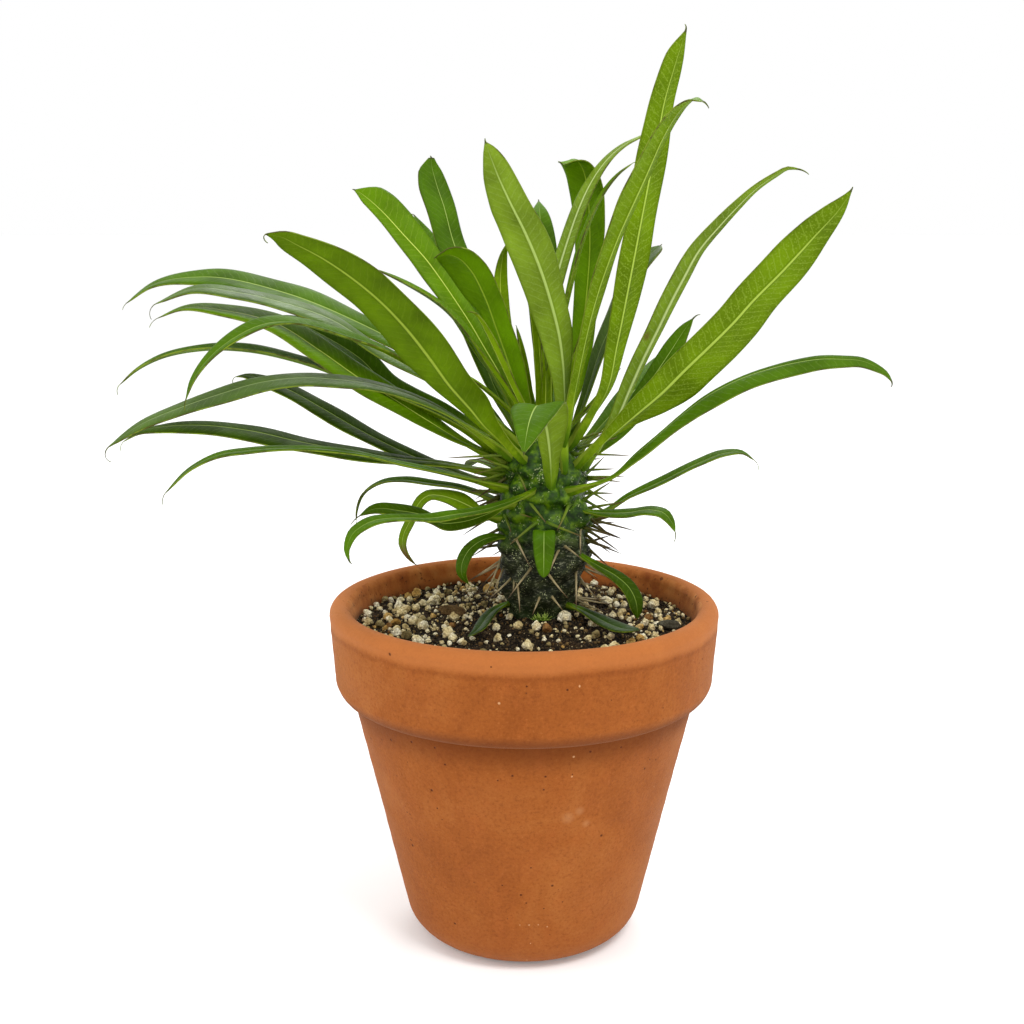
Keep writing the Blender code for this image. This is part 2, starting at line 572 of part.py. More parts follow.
def main():
    clear_scene()
    parts = new_collection("potted_pachypodium")
    cutters = new_collection("cutters", hidden=True)
    clay = new_material("terracotta", (0.37, 0.12, 0.035), 0.85)
    earth = new_material("potting_mix", (0.05, 0.035, 0.022), 0.95)
    skin = new_material("stem_skin", (0.05, 0.11, 0.025), 0.5)
    leaf_green = new_material("leaf_green", (0.12, 0.26, 0.02), 0.42)

    make_pot(parts, cutters, clay)
    make_potting_mix(parts, cutters, earth)
    lines = [make_leaf(leaf, parts, leaf_green) for leaf in LEAVES]
    make_stem(parts, cutters, lines, skin)
    for thing in parts.objects:
        shade(thing.data)


main()
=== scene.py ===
"""A young pachypodium in a terracotta pot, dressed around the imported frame.

Lengths in this script are millimetres unless a name says otherwise; MM turns them into metres.
"""

import math
import random
from collections import namedtuple

import bmesh
import bpy
import numpy as np
from mathutils import Matrix, Vector, noise

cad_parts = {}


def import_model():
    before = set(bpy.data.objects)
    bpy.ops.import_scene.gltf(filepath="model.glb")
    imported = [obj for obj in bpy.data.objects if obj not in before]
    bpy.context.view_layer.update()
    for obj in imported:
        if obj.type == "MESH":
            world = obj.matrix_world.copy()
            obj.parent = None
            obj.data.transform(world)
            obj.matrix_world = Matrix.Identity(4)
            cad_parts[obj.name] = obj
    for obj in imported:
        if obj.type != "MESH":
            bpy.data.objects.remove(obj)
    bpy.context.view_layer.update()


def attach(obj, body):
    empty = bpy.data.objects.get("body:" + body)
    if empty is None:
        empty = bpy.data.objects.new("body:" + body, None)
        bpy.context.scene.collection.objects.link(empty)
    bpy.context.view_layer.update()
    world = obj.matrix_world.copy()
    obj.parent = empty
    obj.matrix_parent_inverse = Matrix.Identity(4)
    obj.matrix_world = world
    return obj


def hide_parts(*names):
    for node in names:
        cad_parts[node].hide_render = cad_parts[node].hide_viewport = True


MM = 0.001
BODY = "root"

# camera and light, in metres and degrees; lights: name, place, size, power
CAMERA_PLACE = (-0.0040, -0.4627, 0.2397)
CAMERA_PITCH = 78.5
CAMERA_LENS = 50.0
SENSOR_WIDTH = 36.0
FLOOR_REACH = 30.0
WORLD_STRENGTH = 1.0
LIGHT_AIM = (0.0, 0.0, 0.14)
LIGHTS = (
    ("key_light", (0.5, -0.8, 1.45), 0.6, 14.0),
    ("fill_light", (-1.3, -0.5, 0.9), 0.9, 5.0),
    ("back_light", (0.1, 1.1, 1.3), 0.8, 7.0),
)

# clay pot, as in the frame
POT_HEIGHT = 116.0
RIM_RADIUS = 65.0
LIP_ROUNDING = 3.6
COLLAR_RADIUS = 63.4
COLLAR_BOTTOM = 84.6
COLLAR_ROUNDING = 6.8
BODY_TOP_RADIUS = 57.6
BODY_FOOT_RADIUS = 38.2
FOOT_RADIUS = 27.7
FOOT_ROUNDING = 13.0
FLOOR_THICKNESS = 7.0
INNER_FLOOR_RADIUS = 33.0
INNER_ROUNDING = 5.0
DRAIN_RADIUS = 6.5
POT_STEPS = 224
POT_SPACING = 2.4
LIP_GROOVE_HEIGHT = 109.2
LIP_GROOVE_DEPTH = 0.3
LIP_RIDGE_HEIGHT = 107.6
LIP_RIDGE_RISE = 0.1
# the straight part of the collar, for marks on it
COLLAR_WALL_BOTTOM = 91.0
COLLAR_WALL_TOP = 112.0
# the line outside which the clay is unstained: its radius at height 0, in metres, and its slope
BORE_LINE_RADIUS = 0.03141
BORE_LINE_SLOPE = 0.2376
BORE_MARGIN = 0.0006

# potting mix, as in the frame
MIX_EDGE_HEIGHT = 107.6
MIX_MOUND = 2.8
MIX_MOUND_REACH = 34.0
MIX_LUMP = 0.7
MIX_RINGS = 72
MIX_STEPS = 260

# stem, as in the frame, but with knobs that are a little higher
STEM_FOOT = (5.0, 4.0)
STEM_HEAD = (7.0, 4.0)
STEM_LEAN_HEIGHTS = (112.0, 134.0)
STEM_PROFILE = ((5.5, 96.6), (8.2, 100.0), (9.2, 106.0), (10.0, 112.0), (12.2, 119.0), (13.6, 127.0),
                (13.9, 136.0), (13.2, 146.0), (11.8, 154.0), (10.2, 161.0), (8.4, 166.0),
                (6.0, 170.0), (3.2, 172.4), (0.4, 173.0))
STEM_STEPS = 200
STEM_RINGS = 190
KNOB_COUNT = 44
KNOB_TURN = 137.5
KNOB_BOTTOM = 115.0
KNOB_TOP = 167.0
KNOB_HEIGHT = 1.7
KNOB_SPREAD = 3.4
KNOB_EYE = 0.35
LEAF_KNOB_SIZE = 1.5
LEAF_KNOB_HEIGHTS = (120.0, 168.0)
OLD_SKIN_HEIGHT = 136.0
OLD_SKIN_FADE = 14.0

# leaves: the share of the length where a blade is widest, and its narrowest width as a share
WIDEST = 0.62
TIP_SHARE = 0.05
# a petiole narrows to this share of its width over this length, or this share of the leaf's
FOOT_SHARE = 0.62
FOOT_LENGTH = 9.0
FOOT_LENGTH_SHARE = 0.12
# how deep a leaf's root goes into the stem, and in how many steps
ROOT_REACH = 5.5
ROOT_STEPS = 4
THREAD_STEPS = 9
NOD_START = 0.86
# stations are this far apart, with so many points on each side of the blade
STATION = 1.5
ACROSS = 21
HALF_THICKNESS = 0.22
# across a blade: how its halves arch and roll over at the edge, and how its petiole, groove and rib
# stand; shares of the half width or of the length, and depths
ARCH = 0.16
EDGE_DROP = 0.05
EDGE_DROP_START = 0.8
WAVE_LENGTH = 5.0
PETIOLE_SHARE = 0.16
PETIOLE_CROWN = 0.5
PETIOLE_KEEL = 1.7
GROOVE_DEPTH = 0.26
RIB_DEPTH = 0.95
TIP_THINNING_SHARE = 0.02
TIP_THINNESS = 0.4
# the map "size" has this length to a side
MAP_REACH = 100.0

Leaf = namedtuple("Leaf", "name heading swing width neck fold roll twist path")


def named_leaves(pattern, groups):
    """The rows of each group as leaves, named by their group and their number in it."""
    leaves = []
    for group, rows in groups.items():
        for number, (*row, reaches, heights) in enumerate(rows, 1):
            leaves.append(Leaf(pattern % (group, number), *row, tuple(zip(reaches, heights))))
    return leaves


# heading and swing in degrees; width; narrowness at the stem; fold, roll and twist in degrees;
# then the midrib as reaches from the stem's axis and heights
LEAF_ROWS = {
    "left": [
        (172, 0, 15.5, 0.24, 5, -19, 0, (10, 40, 62, 88, 116, 134, 143), (170, 195.3, 206.8, 216.8,
         221.7, 218.8, 213)),
        (187, 0, 12, 0.26, 0, -16, 0, (10, 38, 54, 69, 85, 98, 112, 124), (168, 190, 199, 209, 214.8,
         217.8, 219.2, 214.7)),
        (186, 0, 15, 0.26, 5, -55, 50, (11, 18.4, 27.3, 39.1, 49.4, 61.3, 73, 87, 102, 116, 124), (161,
         164.8, 169, 176.3, 183, 190.5, 199, 208, 212, 213, 210)),
        (168, 0, 11, 0.34, 8, -45, 20, (10, 16, 26, 36, 47, 54, 64, 75, 88, 98), (166, 168.5, 173.5,
         178, 182.5, 186, 195, 201.5, 207, 208)),
        (208, 0, 9, 0.36, 15, -14, 0, (7, 28, 45, 58, 72, 80, 87, 92, 97, 102, 107, 111, 114.5, 117.5,
         119.5), (167, 183, 194.3, 201.5, 206.7, 209.2, 210.6, 210.7, 209.8, 207.8, 205, 202, 198.5,
         194.3, 189.5)),
        (184, 0, 10, 0.4, 20, -5, 0, (10, 38, 51, 65, 80, 97, 111, 126, 132.5, 137.7), (162, 179, 184.4,
         190.2, 195.6, 199.3, 199.6, 196.3, 192.8, 188.5)),
        (163, 0, 9.5, 0.4, 0, -18, 0, (9, 26, 44, 66, 81, 92, 103, 110, 113), (152, 155.2, 160.4, 169.4,
         176.9, 182.2, 185.9, 187.1, 186.6)),
        (202, 0, 11, 0.5, -3, -16, 0, (11, 16.1, 23.1, 31, 37.7, 46.1, 54, 62, 70, 82, 94, 108, 119,
         131, 140), (164.5, 168, 172.7, 177.9, 181.9, 185.8, 188.6, 190.7, 191.9, 192.9, 192, 188.6,
         185.3, 180.7, 175)),
        (178, 0, 12.5, 0.34, -5, -14, 0, (12, 22, 35, 48, 62, 82, 98, 115, 128, 136, 141), (158, 159.3,
         161.3, 162.5, 164.5, 168, 171.5, 173.3, 172.7, 171, 168)),
        (203, 0, 6.5, 0.7, 5, -6, 0, (9, 20, 27, 37, 51, 64, 77, 99, 109, 117.5, 124.5), (153.5, 156,
         158, 161, 164.7, 168.5, 170.8, 171.6, 170.6, 166.8, 160.5)),
    ],
    "low": [
        (165, 0, 5, 0.8, 15, -10, 0, (14, 23, 30, 40, 50, 58.5, 64.5, 67, 67.5), (147, 150, 151.7,
         152.5, 153.2, 151.8, 147.7, 142, 138)),
        (200, 0, 9, 0.45, 5, -50, 30, (14, 20, 26.5, 31.5, 36.5, 40.5, 43, 45, 47, 49, 49.5, 48.5, 47,
         45.5), (144, 145, 148.5, 151, 152.7, 153, 151.5, 148.5, 144.5, 140.5, 137.5, 134.5, 132.3,
         130.7)),
        (225, 0, 7, 0.4, 5, -35, 0, (12, 16, 26, 39, 47, 53, 63, 75, 79), (149, 150, 148, 147, 148, 151,
         154, 156, 155)),
        (255, -20, 5, 0.7, 10, -20, 0, (11, 21.5, 35.5, 46, 57.5, 66, 75.5, 83, 89, 93.5, 97, 98.5,
         99.3, 98.5), (155, 154.3, 153.7, 153.5, 154, 154.3, 155.8, 156.8, 157, 156.1, 154.5, 152.6,
         150.4, 147.6)),
        (205, 0, 5, 0.6, 5, -30, 0, (12, 18, 23.5, 28, 30, 30.3, 28), (137, 138, 137, 134, 130.5, 126.5,
         123)),
        (190, 46, 5, 0.5, 5, -10, 0, (10.5, 17, 26, 36, 44), (114.6, 114, 113.4, 112.8, 112.4)),
        (324, -15, 5, 0.5, 5, 10, 0, (8.5, 15.5, 23, 31, 39, 46), (114.6, 114, 113.1, 112.5, 112.7,
         114)),
    ],
    "front": [
        (268, 0, 7, 0.3, 5, 0, 0, (15, 19, 21, 22, 23), (141, 142, 140, 135, 128)),
        (278, -14, 14, 0.3, 10, 0, 0, (11, 19, 31, 46, 61, 73), (155, 165, 178, 186.3, 184, 176.5)),
        (318, 0, 6, 0.5, 5, 10, 0, (14, 23, 31, 36, 38.8, 39.3), (133, 130, 127.5, 124.5, 120, 115)),
    ],
    "right": [
        (330, 0, 7, 0.4, 0, 15, 0, (11, 21, 31, 39, 43.5, 46, 47.3), (147, 146.7, 147.7, 149.3, 148.6,
         146, 143.2)),
        (0, 0, 7, 0.4, 10, 10, 0, (12, 18, 28, 39, 51, 60, 65.5, 69.5), (145, 144.6, 150.1, 155.2,
         161.2, 164.6, 164.8, 162.3)),
        (300, 42, 11, 0.6, -8, 38, 0, (12, 21, 30, 37.2, 42.7, 48.8, 55.3, 61, 67.5, 74.5, 81.5, 89,
         95.5, 101, 105.3, 108.8, 110), (154.5, 157, 160.8, 168.3, 173.9, 180.2, 186, 189.8, 193.1,
         195.6, 197.4, 198.6, 198.6, 198.2, 196.5, 194.2, 192.5)),
        (322, 0, 14, 0.3, 10, -45, 0, (10.5, 19, 27, 37, 44.5, 53, 61.5, 69.5, 75, 84.5, 94, 102.5,
         104.7), (161.5, 168, 174.3, 182, 188, 196, 203.7, 211.2, 217, 226, 235.7, 244.8, 248.3)),
        (15, 0, 11, 0.3, 10, 40, 0, (11.5, 20.5, 29.2, 34, 39.2, 44, 48, 51.3), (158.5, 167, 177, 184,
         191, 197.8, 203.7, 208)),
        (345, 0, 9, 0.5, 10, -45, 0, (10.2, 14, 20, 24.4, 28.2, 32, 36.8, 40.4, 44.8, 49.3, 55.4, 61,
         66.6, 72.2, 76, 79), (159.5, 163.7, 171.2, 179.3, 188, 196.7, 206.7, 214.4, 223, 231.3, 238.7,
         244.8, 250.2, 254, 256, 255.7)),
    ],
    "top": [
        (325, 0, 14, 0.3, 10, -25, 0, (8.5, 17.5, 23, 26.7, 30.8, 34.7, 36.6, 38.5, 40.4, 42.2, 45,
         47.5, 49), (168, 178.8, 187.6, 202.4, 221.2, 240, 249, 258, 266.8, 275.4, 284, 291.2, 295)),
        (300, 0, 10, 0.4, 10, 15, 0, (10.5, 12.3, 15.2, 18, 20.8, 24.1, 27.4, 30.6, 34.9, 39, 42.6,
         46.1, 49.3, 53.7, 57.9, 62.3, 66.9, 71.4, 75.8, 80.7), (169, 173.5, 182, 190.1, 198.2, 206.9,
         214.2, 220.3, 227.3, 233.4, 238.3, 242.6, 246.5, 251.9, 257.4, 263, 267.6, 270.9, 272.4,
         271.6)),
        (150, -122, 6.5, 0.4, 8, 0, 0, (2, 3.7, 5.9, 7.5, 8.7, 10, 11.5, 13.5, 15.7, 18.2, 21.5, 25.2,
         29.5, 34.3, 38.3), (173, 192, 208, 218, 222.7, 227.9, 233.6, 240.6, 246.8, 252.1, 257.2, 261.3,
         264.5, 266.8, 268.6)),
        (325, 50, 5, 0.3, 25, 0, 0, (4.5, 4.5, 4.5, 5, 7, 9, 11, 13.5, 17, 20.8, 24.7, 29), (170.5, 180,
         190, 205, 215, 223, 230.5, 237.5, 245, 251, 255.3, 258.5)),
        (55, 0, 13, 0.4, 10, 0, 0, (8, 20, 24, 25.7, 26.8, 26.5, 25, 22.5, 18.5, 14, 10.5), (171, 190,
         210, 220, 230, 240, 250, 256.5, 259.7, 259.7, 258.3)),
        (28, 0, 10, 0.34, 10, 0, 0, (9, 15, 22, 27, 32, 38, 44), (168, 182, 200, 209, 219, 227, 232)),
        (313, -68, 15, 0.4, 10, 0, 0, (11, 11, 12.5, 17, 21, 26, 31, 36, 40, 43.5, 45), (160, 172, 187,
         203, 214.5, 226.5, 237, 246.5, 254.5, 260, 262.5)),
        (154, 0, 13, 0.5, 10, -40, 0, (6, 13, 23.5, 27.3, 32, 38.3, 44, 53, 61.6, 66.5, 70.4, 72),
         (170.5, 184.3, 200.3, 206, 212.3, 220.3, 227, 235.5, 243.5, 247.3, 249.8, 250.6)),
        (205, 0, 14, 0.4, 5, 30, 0, (4, 5, 7.4, 10.3, 13.6, 17.5, 21.6, 26.8, 30.2, 35.2, 38.3), (170,
         174.4, 181.8, 188.5, 197.1, 206.9, 217.1, 225.7, 228.8, 230.1, 229.2)),
        (130, 7, 14, 0.3, 10, -8, 0, (6, 16.5, 28.2, 35.8, 43, 47.2, 51, 53, 53), (171, 189.3, 207.2,
         220.5, 233.2, 245, 253.4, 259.5, 261.5)),
        (168, 0, 6.5, 0.5, 20, 0, 0, (7, 10.5, 13.6, 16.3, 20.4, 24.4, 28.8, 33.9, 39, 45.1, 50.9,
         57.5), (170, 177.2, 183.7, 188, 194.5, 201, 206.6, 211.7, 215.3, 218.7, 221.6, 224.5)),
        (236, -16, 16, 0.4, 5, 34, 0, (9.5, 18.4, 24.7, 31.3, 36, 40.2, 44.5, 47.8, 51.2, 59.2, 67.2,
         76.1, 85.6, 93.4, 98.7, 102.8), (163.5, 168.6, 173.1, 178.2, 183.1, 187.3, 191.9, 196.2, 200.6,
         210, 217.6, 224.3, 230.1, 233.8, 236.1, 236.6)),
        (128, 0, 12, 0.3, 10, 0, 0, (10, 26, 42, 50, 60, 69, 75), (166, 182, 206, 218, 228, 236, 242)),
        (88, 4, 11, 0.3, 10, 0, 0, (6, 14, 22, 30, 38, 46), (172, 190, 210, 229, 242, 247)),
        (115, -4, 6, 0.3, 20, 0, 0, (6, 18, 28, 36, 41, 42, 39, 35), (174, 178, 188, 201, 213, 221, 229,
         233)),
    ],
    "young": [
        (228, 0, 3, 0.7, 30, 10, 0, (5, 10.6, 15, 20.7, 26.7, 31.3, 33.9, 36.6), (173, 180.8, 187,
         195.5, 204.3, 210.2, 212.4, 212.9)),
        (180, 0, 4, 0.6, 40, 0, 0, (1, 2, 3, 4), (173, 182, 192, 201)),
        (270, 0, 4, 0.6, 40, 0, 0, (4, 4, 4, 5), (172, 180, 188, 193)),
    ],
    "back": [
        (80, 0, 14, 0.26, 10, 0, 0, (9, 25, 45, 70, 90, 100), (164, 175, 185, 190, 187, 182)),
        (100, 0, 14, 0.26, 10, 0, 0, (10, 28, 50, 72, 90, 100), (158, 168, 176, 180, 178, 174)),
        (142, 0, 12, 0.26, 10, 0, 0, (10, 24, 42, 56, 66, 73), (164, 176, 188, 196, 199, 196)),
        (124, 0, 10, 0.3, 10, 0, 0, (11, 22, 33, 42, 50), (150, 154.5, 157, 156.5, 152.5)),
        (40, 0, 14, 0.26, 10, 0, 0, (10, 26, 44, 62, 78, 88), (160, 172, 184, 193, 197, 196)),
        (106, 0, 7, 0.3, 10, 0, 0, (15, 26, 38, 47, 52), (140, 145, 146, 141, 133)),
        (76, 0, 8, 0.17, 10, 0, 0, (12, 28, 42, 53), (145.5, 150, 149, 141)),
    ],
}
# thin upright leaves still closed round the growing point
BUD_ROWS = {
    "bud": [
        (200, 0, 6, 0.6, 16, 0, 0, (2, 2.4, 3.2, 5.1, 7.9, 10), (170, 182, 198, 212, 222, 228)),
        (240, 0, 3.4, 0.6, 30, 0, 10, (2, 2, 3, 5), (170, 182, 194, 204)),
        (300, 0, 3.2, 0.6, 30, 0, 0, (2, 3, 3, 3), (170, 179, 188, 197)),
        (192, 0, 2.4, 0.6, 30, 20, 0, (3, 8, 14, 20, 25), (170, 179, 188, 196, 203)),
        (205, 0, 2.4, 0.6, 30, -20, 0, (3, 10, 18, 26, 33), (169, 177, 184, 190, 194)),
        (345, 0, 3.4, 0.6, 30, 0, 0, (3, 6, 9, 14, 18), (170, 182, 194, 208, 217)),
        (10, 0, 2.6, 0.6, 30, 0, 0, (4, 10, 17, 25), (168, 175, 182, 192)),
        (150, 0, 4.5, 0.6, 24, 0, 0, (3, 6, 9, 11), (170, 182, 196, 206)),
    ],
}
LEAVES = named_leaves("%s_%02d", LEAF_ROWS)
BUDS = named_leaves("%s_%d", BUD_ROWS)

# a blade's half widths at shares of its length: the heading's right hand, then its left hand
# where that differs
EVEN = (0, 0.1, 0.2, 0.3, 0.4, 0.5, 0.6, 0.7, 0.8, 0.88, 0.94, 1)
BLADES = {
    "top_12": (EVEN, (1.4, 1.7, 2, 3.6, 5.9, 7.8, 8.2, 7.4, 6.8, 5.7, 4.3, 0.3), (1.4, 2, 4.3, 7.2, 7.4,
        7.6, 7.6, 7.6, 6.6, 5.2, 3.4, 0.3)),
    "top_08": ((0, 0.1, 0.2, 0.4, 0.5, 0.6, 0.7, 0.8, 0.88, 0.94, 1), (1.4, 1.7, 2.6, 3.6, 4.2, 5, 6.2,
        7.4, 7.6, 6.6, 0.3), (1.4, 2, 3.2, 4.8, 5.2, 5.4, 4.7, 3.8, 3.2, 2.6, 0.3)),
    "top_10": ((0, 0.1, 0.2, 0.3, 0.4, 0.5, 0.6, 0.7, 0.8, 0.88, 0.95, 1), (1.4, 1.7, 2.2, 3.2, 3.9,
        4.2, 4.3, 4.6, 4.6, 4.4, 3.6, 1.2), (1.4, 1.9, 2.8, 5, 6.6, 7.8, 8.4, 8.4, 8.4, 8.2, 6.5, 1.2)),
    "top_09": ((0, 0.1, 0.2, 0.3, 0.4, 0.5, 0.6, 0.7, 0.8, 0.88, 0.94, 0.98, 1), (1.4, 1.7, 1.8, 2.2, 3,
        3.8, 4.8, 8, 9, 8.6, 7, 4, 0.3), (1.4, 2.4, 3.2, 4.6, 5.6, 6, 6.1, 5.9, 6, 5.6, 4.4, 1.6, 0.3)),
    "top_07": ((0, 0.1, 0.2, 0.27, 0.35, 0.43, 0.5, 0.6, 0.65, 0.71, 0.8, 0.86, 0.9, 0.94, 0.98, 1),
        (1.6, 2.2, 2.8, 3.6, 5, 6.2, 7.2, 7.7, 7.8, 8, 7.8, 6.6, 5.4, 3.6, 1.6, 0.2), (1.6, 1.6, 1.8,
        2.4, 3.6, 4.6, 4.8, 5.4, 5.8, 6, 5.5, 5.2, 4.9, 4.2, 2.4, 0.3)),
    "bud_1": ((0, 0.3, 0.55, 0.8, 0.92, 1), (2.4, 3.1, 3.3, 2.8, 1.8, 0.3)),
    "top_05": ((0, 0.1, 0.2, 0.4, 0.5, 0.6, 0.7, 0.8, 0.88, 0.94, 1), (1.5, 3, 3.9, 4.9, 5, 5.4, 6.4,
        6.5, 5, 3, 0.4), (1.5, 2.6, 3.3, 4.4, 5, 5.6, 6.1, 6.7, 7, 6.4, 0.4)),
    "top_01": (EVEN, (1.6, 2, 2.8, 3.6, 4.4, 4.8, 5, 5.4, 5.3, 4.8, 3.9, 0.3), (1.6, 2.4, 3.2, 4.4, 6,
        6.4, 6.2, 5.6, 4.7, 3.8, 2.6, 0.3)),
    "top_02": (EVEN, (1.5, 1.8, 1.8, 2.2, 3, 4.3, 5.4, 6.2, 5.4, 3.9, 2.3, 0.3), (1.5, 1.6, 2.8, 4.2,
        4.2, 3.6, 2.9, 2.5, 3, 2.8, 2.2, 0.3)),
    "right_06": ((0, 0.1, 0.3, 0.4, 0.5, 0.6, 0.7, 0.8, 0.88, 0.94, 1), (1.6, 2.4, 3.4, 3.7, 4, 4, 3.2,
        2.3, 1.4, 0.9, 0.3), (1.6, 1.8, 2, 2.4, 2.6, 2.5, 2.2, 1.8, 1.3, 1, 0.3)),
    "right_04": (EVEN, (1.6, 1.9, 3.6, 5.2, 5.8, 5.8, 6, 6.4, 6.4, 5.6, 4, 0.2), (1.6, 1.8, 3.4, 7, 9.6,
        9.6, 9, 7.4, 6.2, 4.4, 2.6, 0.2)),
    "right_05": (EVEN, (1.4, 2, 3.2, 4.4, 5.3, 6.1, 6.3, 6.1, 4.8, 3, 1.8, 0.3), (1.4, 1.6, 1.9, 1.8, 2,
        2.6, 3, 3.4, 3.4, 2.8, 2, 0.3)),
    "right_03": (EVEN, (1.6, 2, 3.4, 4.6, 5.4, 5.8, 5.6, 5, 3.8, 2.6, 1.7, 0.3), (1.6, 1.4, 1.4, 1.3,
        1.1, 1.2, 1.3, 1.6, 2, 2.1, 1.6, 0.3)),
    "front_02": ((0, 0.15, 0.3, 0.45, 0.6, 0.68, 0.75, 0.85, 0.94, 1), (2.2, 2.6, 3.4, 3.4, 4.6, 6.4,
        6.6, 4.6, 2.2, 0.2), (2.2, 2.8, 5.4, 7.4, 8, 8.2, 7.6, 5.4, 2.6, 0.2)),
    "front_01": ((0, 0.12, 0.3, 0.55, 0.75, 0.9, 0.97, 1), (2.2, 3.3, 3.6, 3.4, 2.8, 2, 1.2, 0.4)),
    "low_06": ((0, 0.25, 0.5, 0.7, 0.9, 1), (1, 1.5, 1.9, 1.9, 1, 0.3)),
    "low_07": ((0, 0.25, 0.5, 0.75, 0.92, 1), (1, 1.8, 2.8, 3, 2, 0.3)),
    "top_06": ((0, 0.2, 0.4, 0.6, 0.75, 0.88, 0.95, 0.985, 1), (1.4, 2.4, 4, 5.2, 6, 6, 4.8, 3, 1)),
    "low_04": ((0, 0.15, 0.35, 0.55, 0.75, 0.9, 1), (1, 1.2, 1.8, 2.3, 2.3, 1.7, 0.3), (1, 1.3, 2.2,
        2.6, 2.5, 1.7, 0.3)),
    "low_02": ((0, 0.15, 0.3, 0.42, 0.5, 0.7, 0.85, 0.94, 1), (1.4, 3, 4.4, 3.2, 2.4, 1.9, 1.8, 1.2,
        0.4), (1.4, 2.6, 4, 3, 2.2, 1.9, 1.8, 1.2, 0.4)),
}
# where a blade that isn't in that table begins to narrow, as a share of its length
NARROWINGS = {"top_03": 0.8, "front_03": 0.8, "left_05": 0.62, "left_07": 0.75}
USUAL_NARROWING, SMALL_NARROWING = 0.66, 0.6
# how far the thread at a leaf's tip hooks, in degrees, and its length
THREADS = {
    "top_10": (60, 1), "top_08": (30, 1.2), "top_05": (60, 2.5), "top_07": (-30, 1.2),
    "top_09": (30, 1), "top_12": (150, 4), "top_01": (-60, 2.4), "top_02": (60, 3), "top_03": (20, 2),
    "top_06": (20, 1), "right_04": (0, 1.2), "right_06": (60, 4), "right_03": (60, 2.5),
    "front_03": (20, 0.8), "front_01": (20, 0.4), "low_06": (20, 0.6), "low_07": (20, 0.6),
    "front_02": (20, 1), "low_02": (60, 1.5), "low_04": (60, 2.5), "left_05": (30, 3.5),
    "left_06": (60, 3.5), "left_02": (110, 6), "left_01": (40, 3), "left_08": (100, 6),
    "left_07": (90, 4),
}
USUAL_THREAD, SMALL_THREAD = (60.0, 4.0), (20.0, 0.6)
# leaves that are young or hidden, and end more plainly
SMALL_GROUPS = ("bud", "back", "young")
# how far a leaf's end nods back, in degrees
NODS = {"front_03": 20.0}
# headings at shares of the length, for a leaf that turns round the stem unevenly
TURNS = {
    "top_07": ((0, 0.11, 0.25, 0.4, 0.51, 0.63, 0.735, 0.83, 0.91, 1),
               (301, 302.5, 296, 284, 274, 264.5, 257, 251, 247.3, 245.5)),
}

# besides the leaves' own colours these hold painted light: the yellow undersides and the bright kind are
# painted lighter for light shining through the leaves, and the kind given to each leaf paints in how brightly
# that leaf is lit
# colours of leaf surfaces: body, midrib, gloss, the midrib's share of the half width; then, where
# they differ, whether it is an underside, how clear its side veins and its stipple are, and brown
# nicks as (x, y, z, radius)
LEAF_COLOURS = {
    "dark": ((66, 98, 6), (158, 180, 92), 0.05, 0.05),
    "deep": ((46, 68, 1), (128, 150, 66), 0.03, 0.06),
    "fresh": ((84, 118, 2), (196, 212, 96), 0.05, 0.05),
    "dull": ((38, 58, 10), (84, 104, 50), 0.1, 0.06),
    "grey": ((66, 92, 20), (140, 160, 96), 0.2, 0.06),
    "back_olive": ((80, 107, 1), (144, 164, 56), 0.05, 0.075, True),
    "back_yellow": ((96, 124, 2), (168, 192, 78), 0.06, 0.08, True, 0.35, 0.45),
    "back_soft": ((112, 138, 30), (172, 194, 104), 0.08, 0.1, True, 0.25, 0.2),
    "back_striped": ((108, 134, 28), (186, 202, 132), 0.1, 0.17, True, 0.25, 0.2,
                     ((38.5, -5, 204.5, 1.7),)),
    "curled": ((84, 110, 4), (168, 186, 84), 0.05, 0.06, False, 0.12, 0.0, ((-37, -12, 132, 5.0),)),
    "back_vivid": ((92, 130, 1), (150, 176, 50), 0.05, 0.07, True),
    "bright": ((112, 142, 6), (196, 212, 84), 0.05, 0.09),
}
# upper side and underside of each kind of leaf, and the leaves of that kind
LEAF_KINDS = {
    "dark": ("dark", "back_olive"), "deep": ("deep", "back_olive"), "fresh": ("fresh", "back_olive"),
    "dull": ("dull", "back_olive"), "grey": ("grey", "back_soft"), "yellow": ("fresh", "back_yellow"),
    "soft": ("dark", "back_soft"), "bright": ("bright", "bright"), "vivid": ("fresh", "back_vivid"),
    "turned": ("back_vivid", "back_vivid"), "curled": ("curled", "curled"),
    "striped": ("back_striped", "back_striped"),
}
USUAL_KIND = "fresh"
LEAVES_BY_KIND = {
    "yellow": "right_04 top_01 top_02 top_04",
    "striped": "right_06 top_03",
    "dark": "back_01 back_02 back_05 front_01 left_01 left_04 left_05 left_06 left_10 low_01 "
            "low_04 low_05 right_01 right_02 right_03 right_05 top_10 top_12 top_13 top_14",
    "grey": "left_02 left_08 top_06",
    "deep": "front_03 left_07 left_09 low_03",
    "curled": "low_02",
    "dull": "low_06 low_07",
    "soft": "front_02 top_07",
    "turned": "top_05",
    "vivid": "top_09",
    "bright": "top_15 young_01 young_02 young_03",
}

# pits, pale specks and pale blotches of the pot: angle in degrees, height and radius
CLAY_PITS = ((-138, 80, 0.45), (-128, 82, 0.4), (-119, 82, 0.35), (-94, 75, 0.35), (-140, 41, 0.5),
             (-123, 66, 0.45), (-84, 70, 0.3), (-79, 105, 0.35), (-129, 112, 0.5), (-79, 34, 0.4))
CLAY_SPECKS = ((-75, 81, 0.35), (-75, 74, 0.3), (-97, 101, 0.4), (-92, 19, 0.3), (-88, 19, 0.35),
               (-84, 19, 0.3), (-80, 18, 0.3))
CLAY_BLOTCHES = ((-75, 59, 1.6), (-71, 61, 1.2), (-68, 56, 1.0))

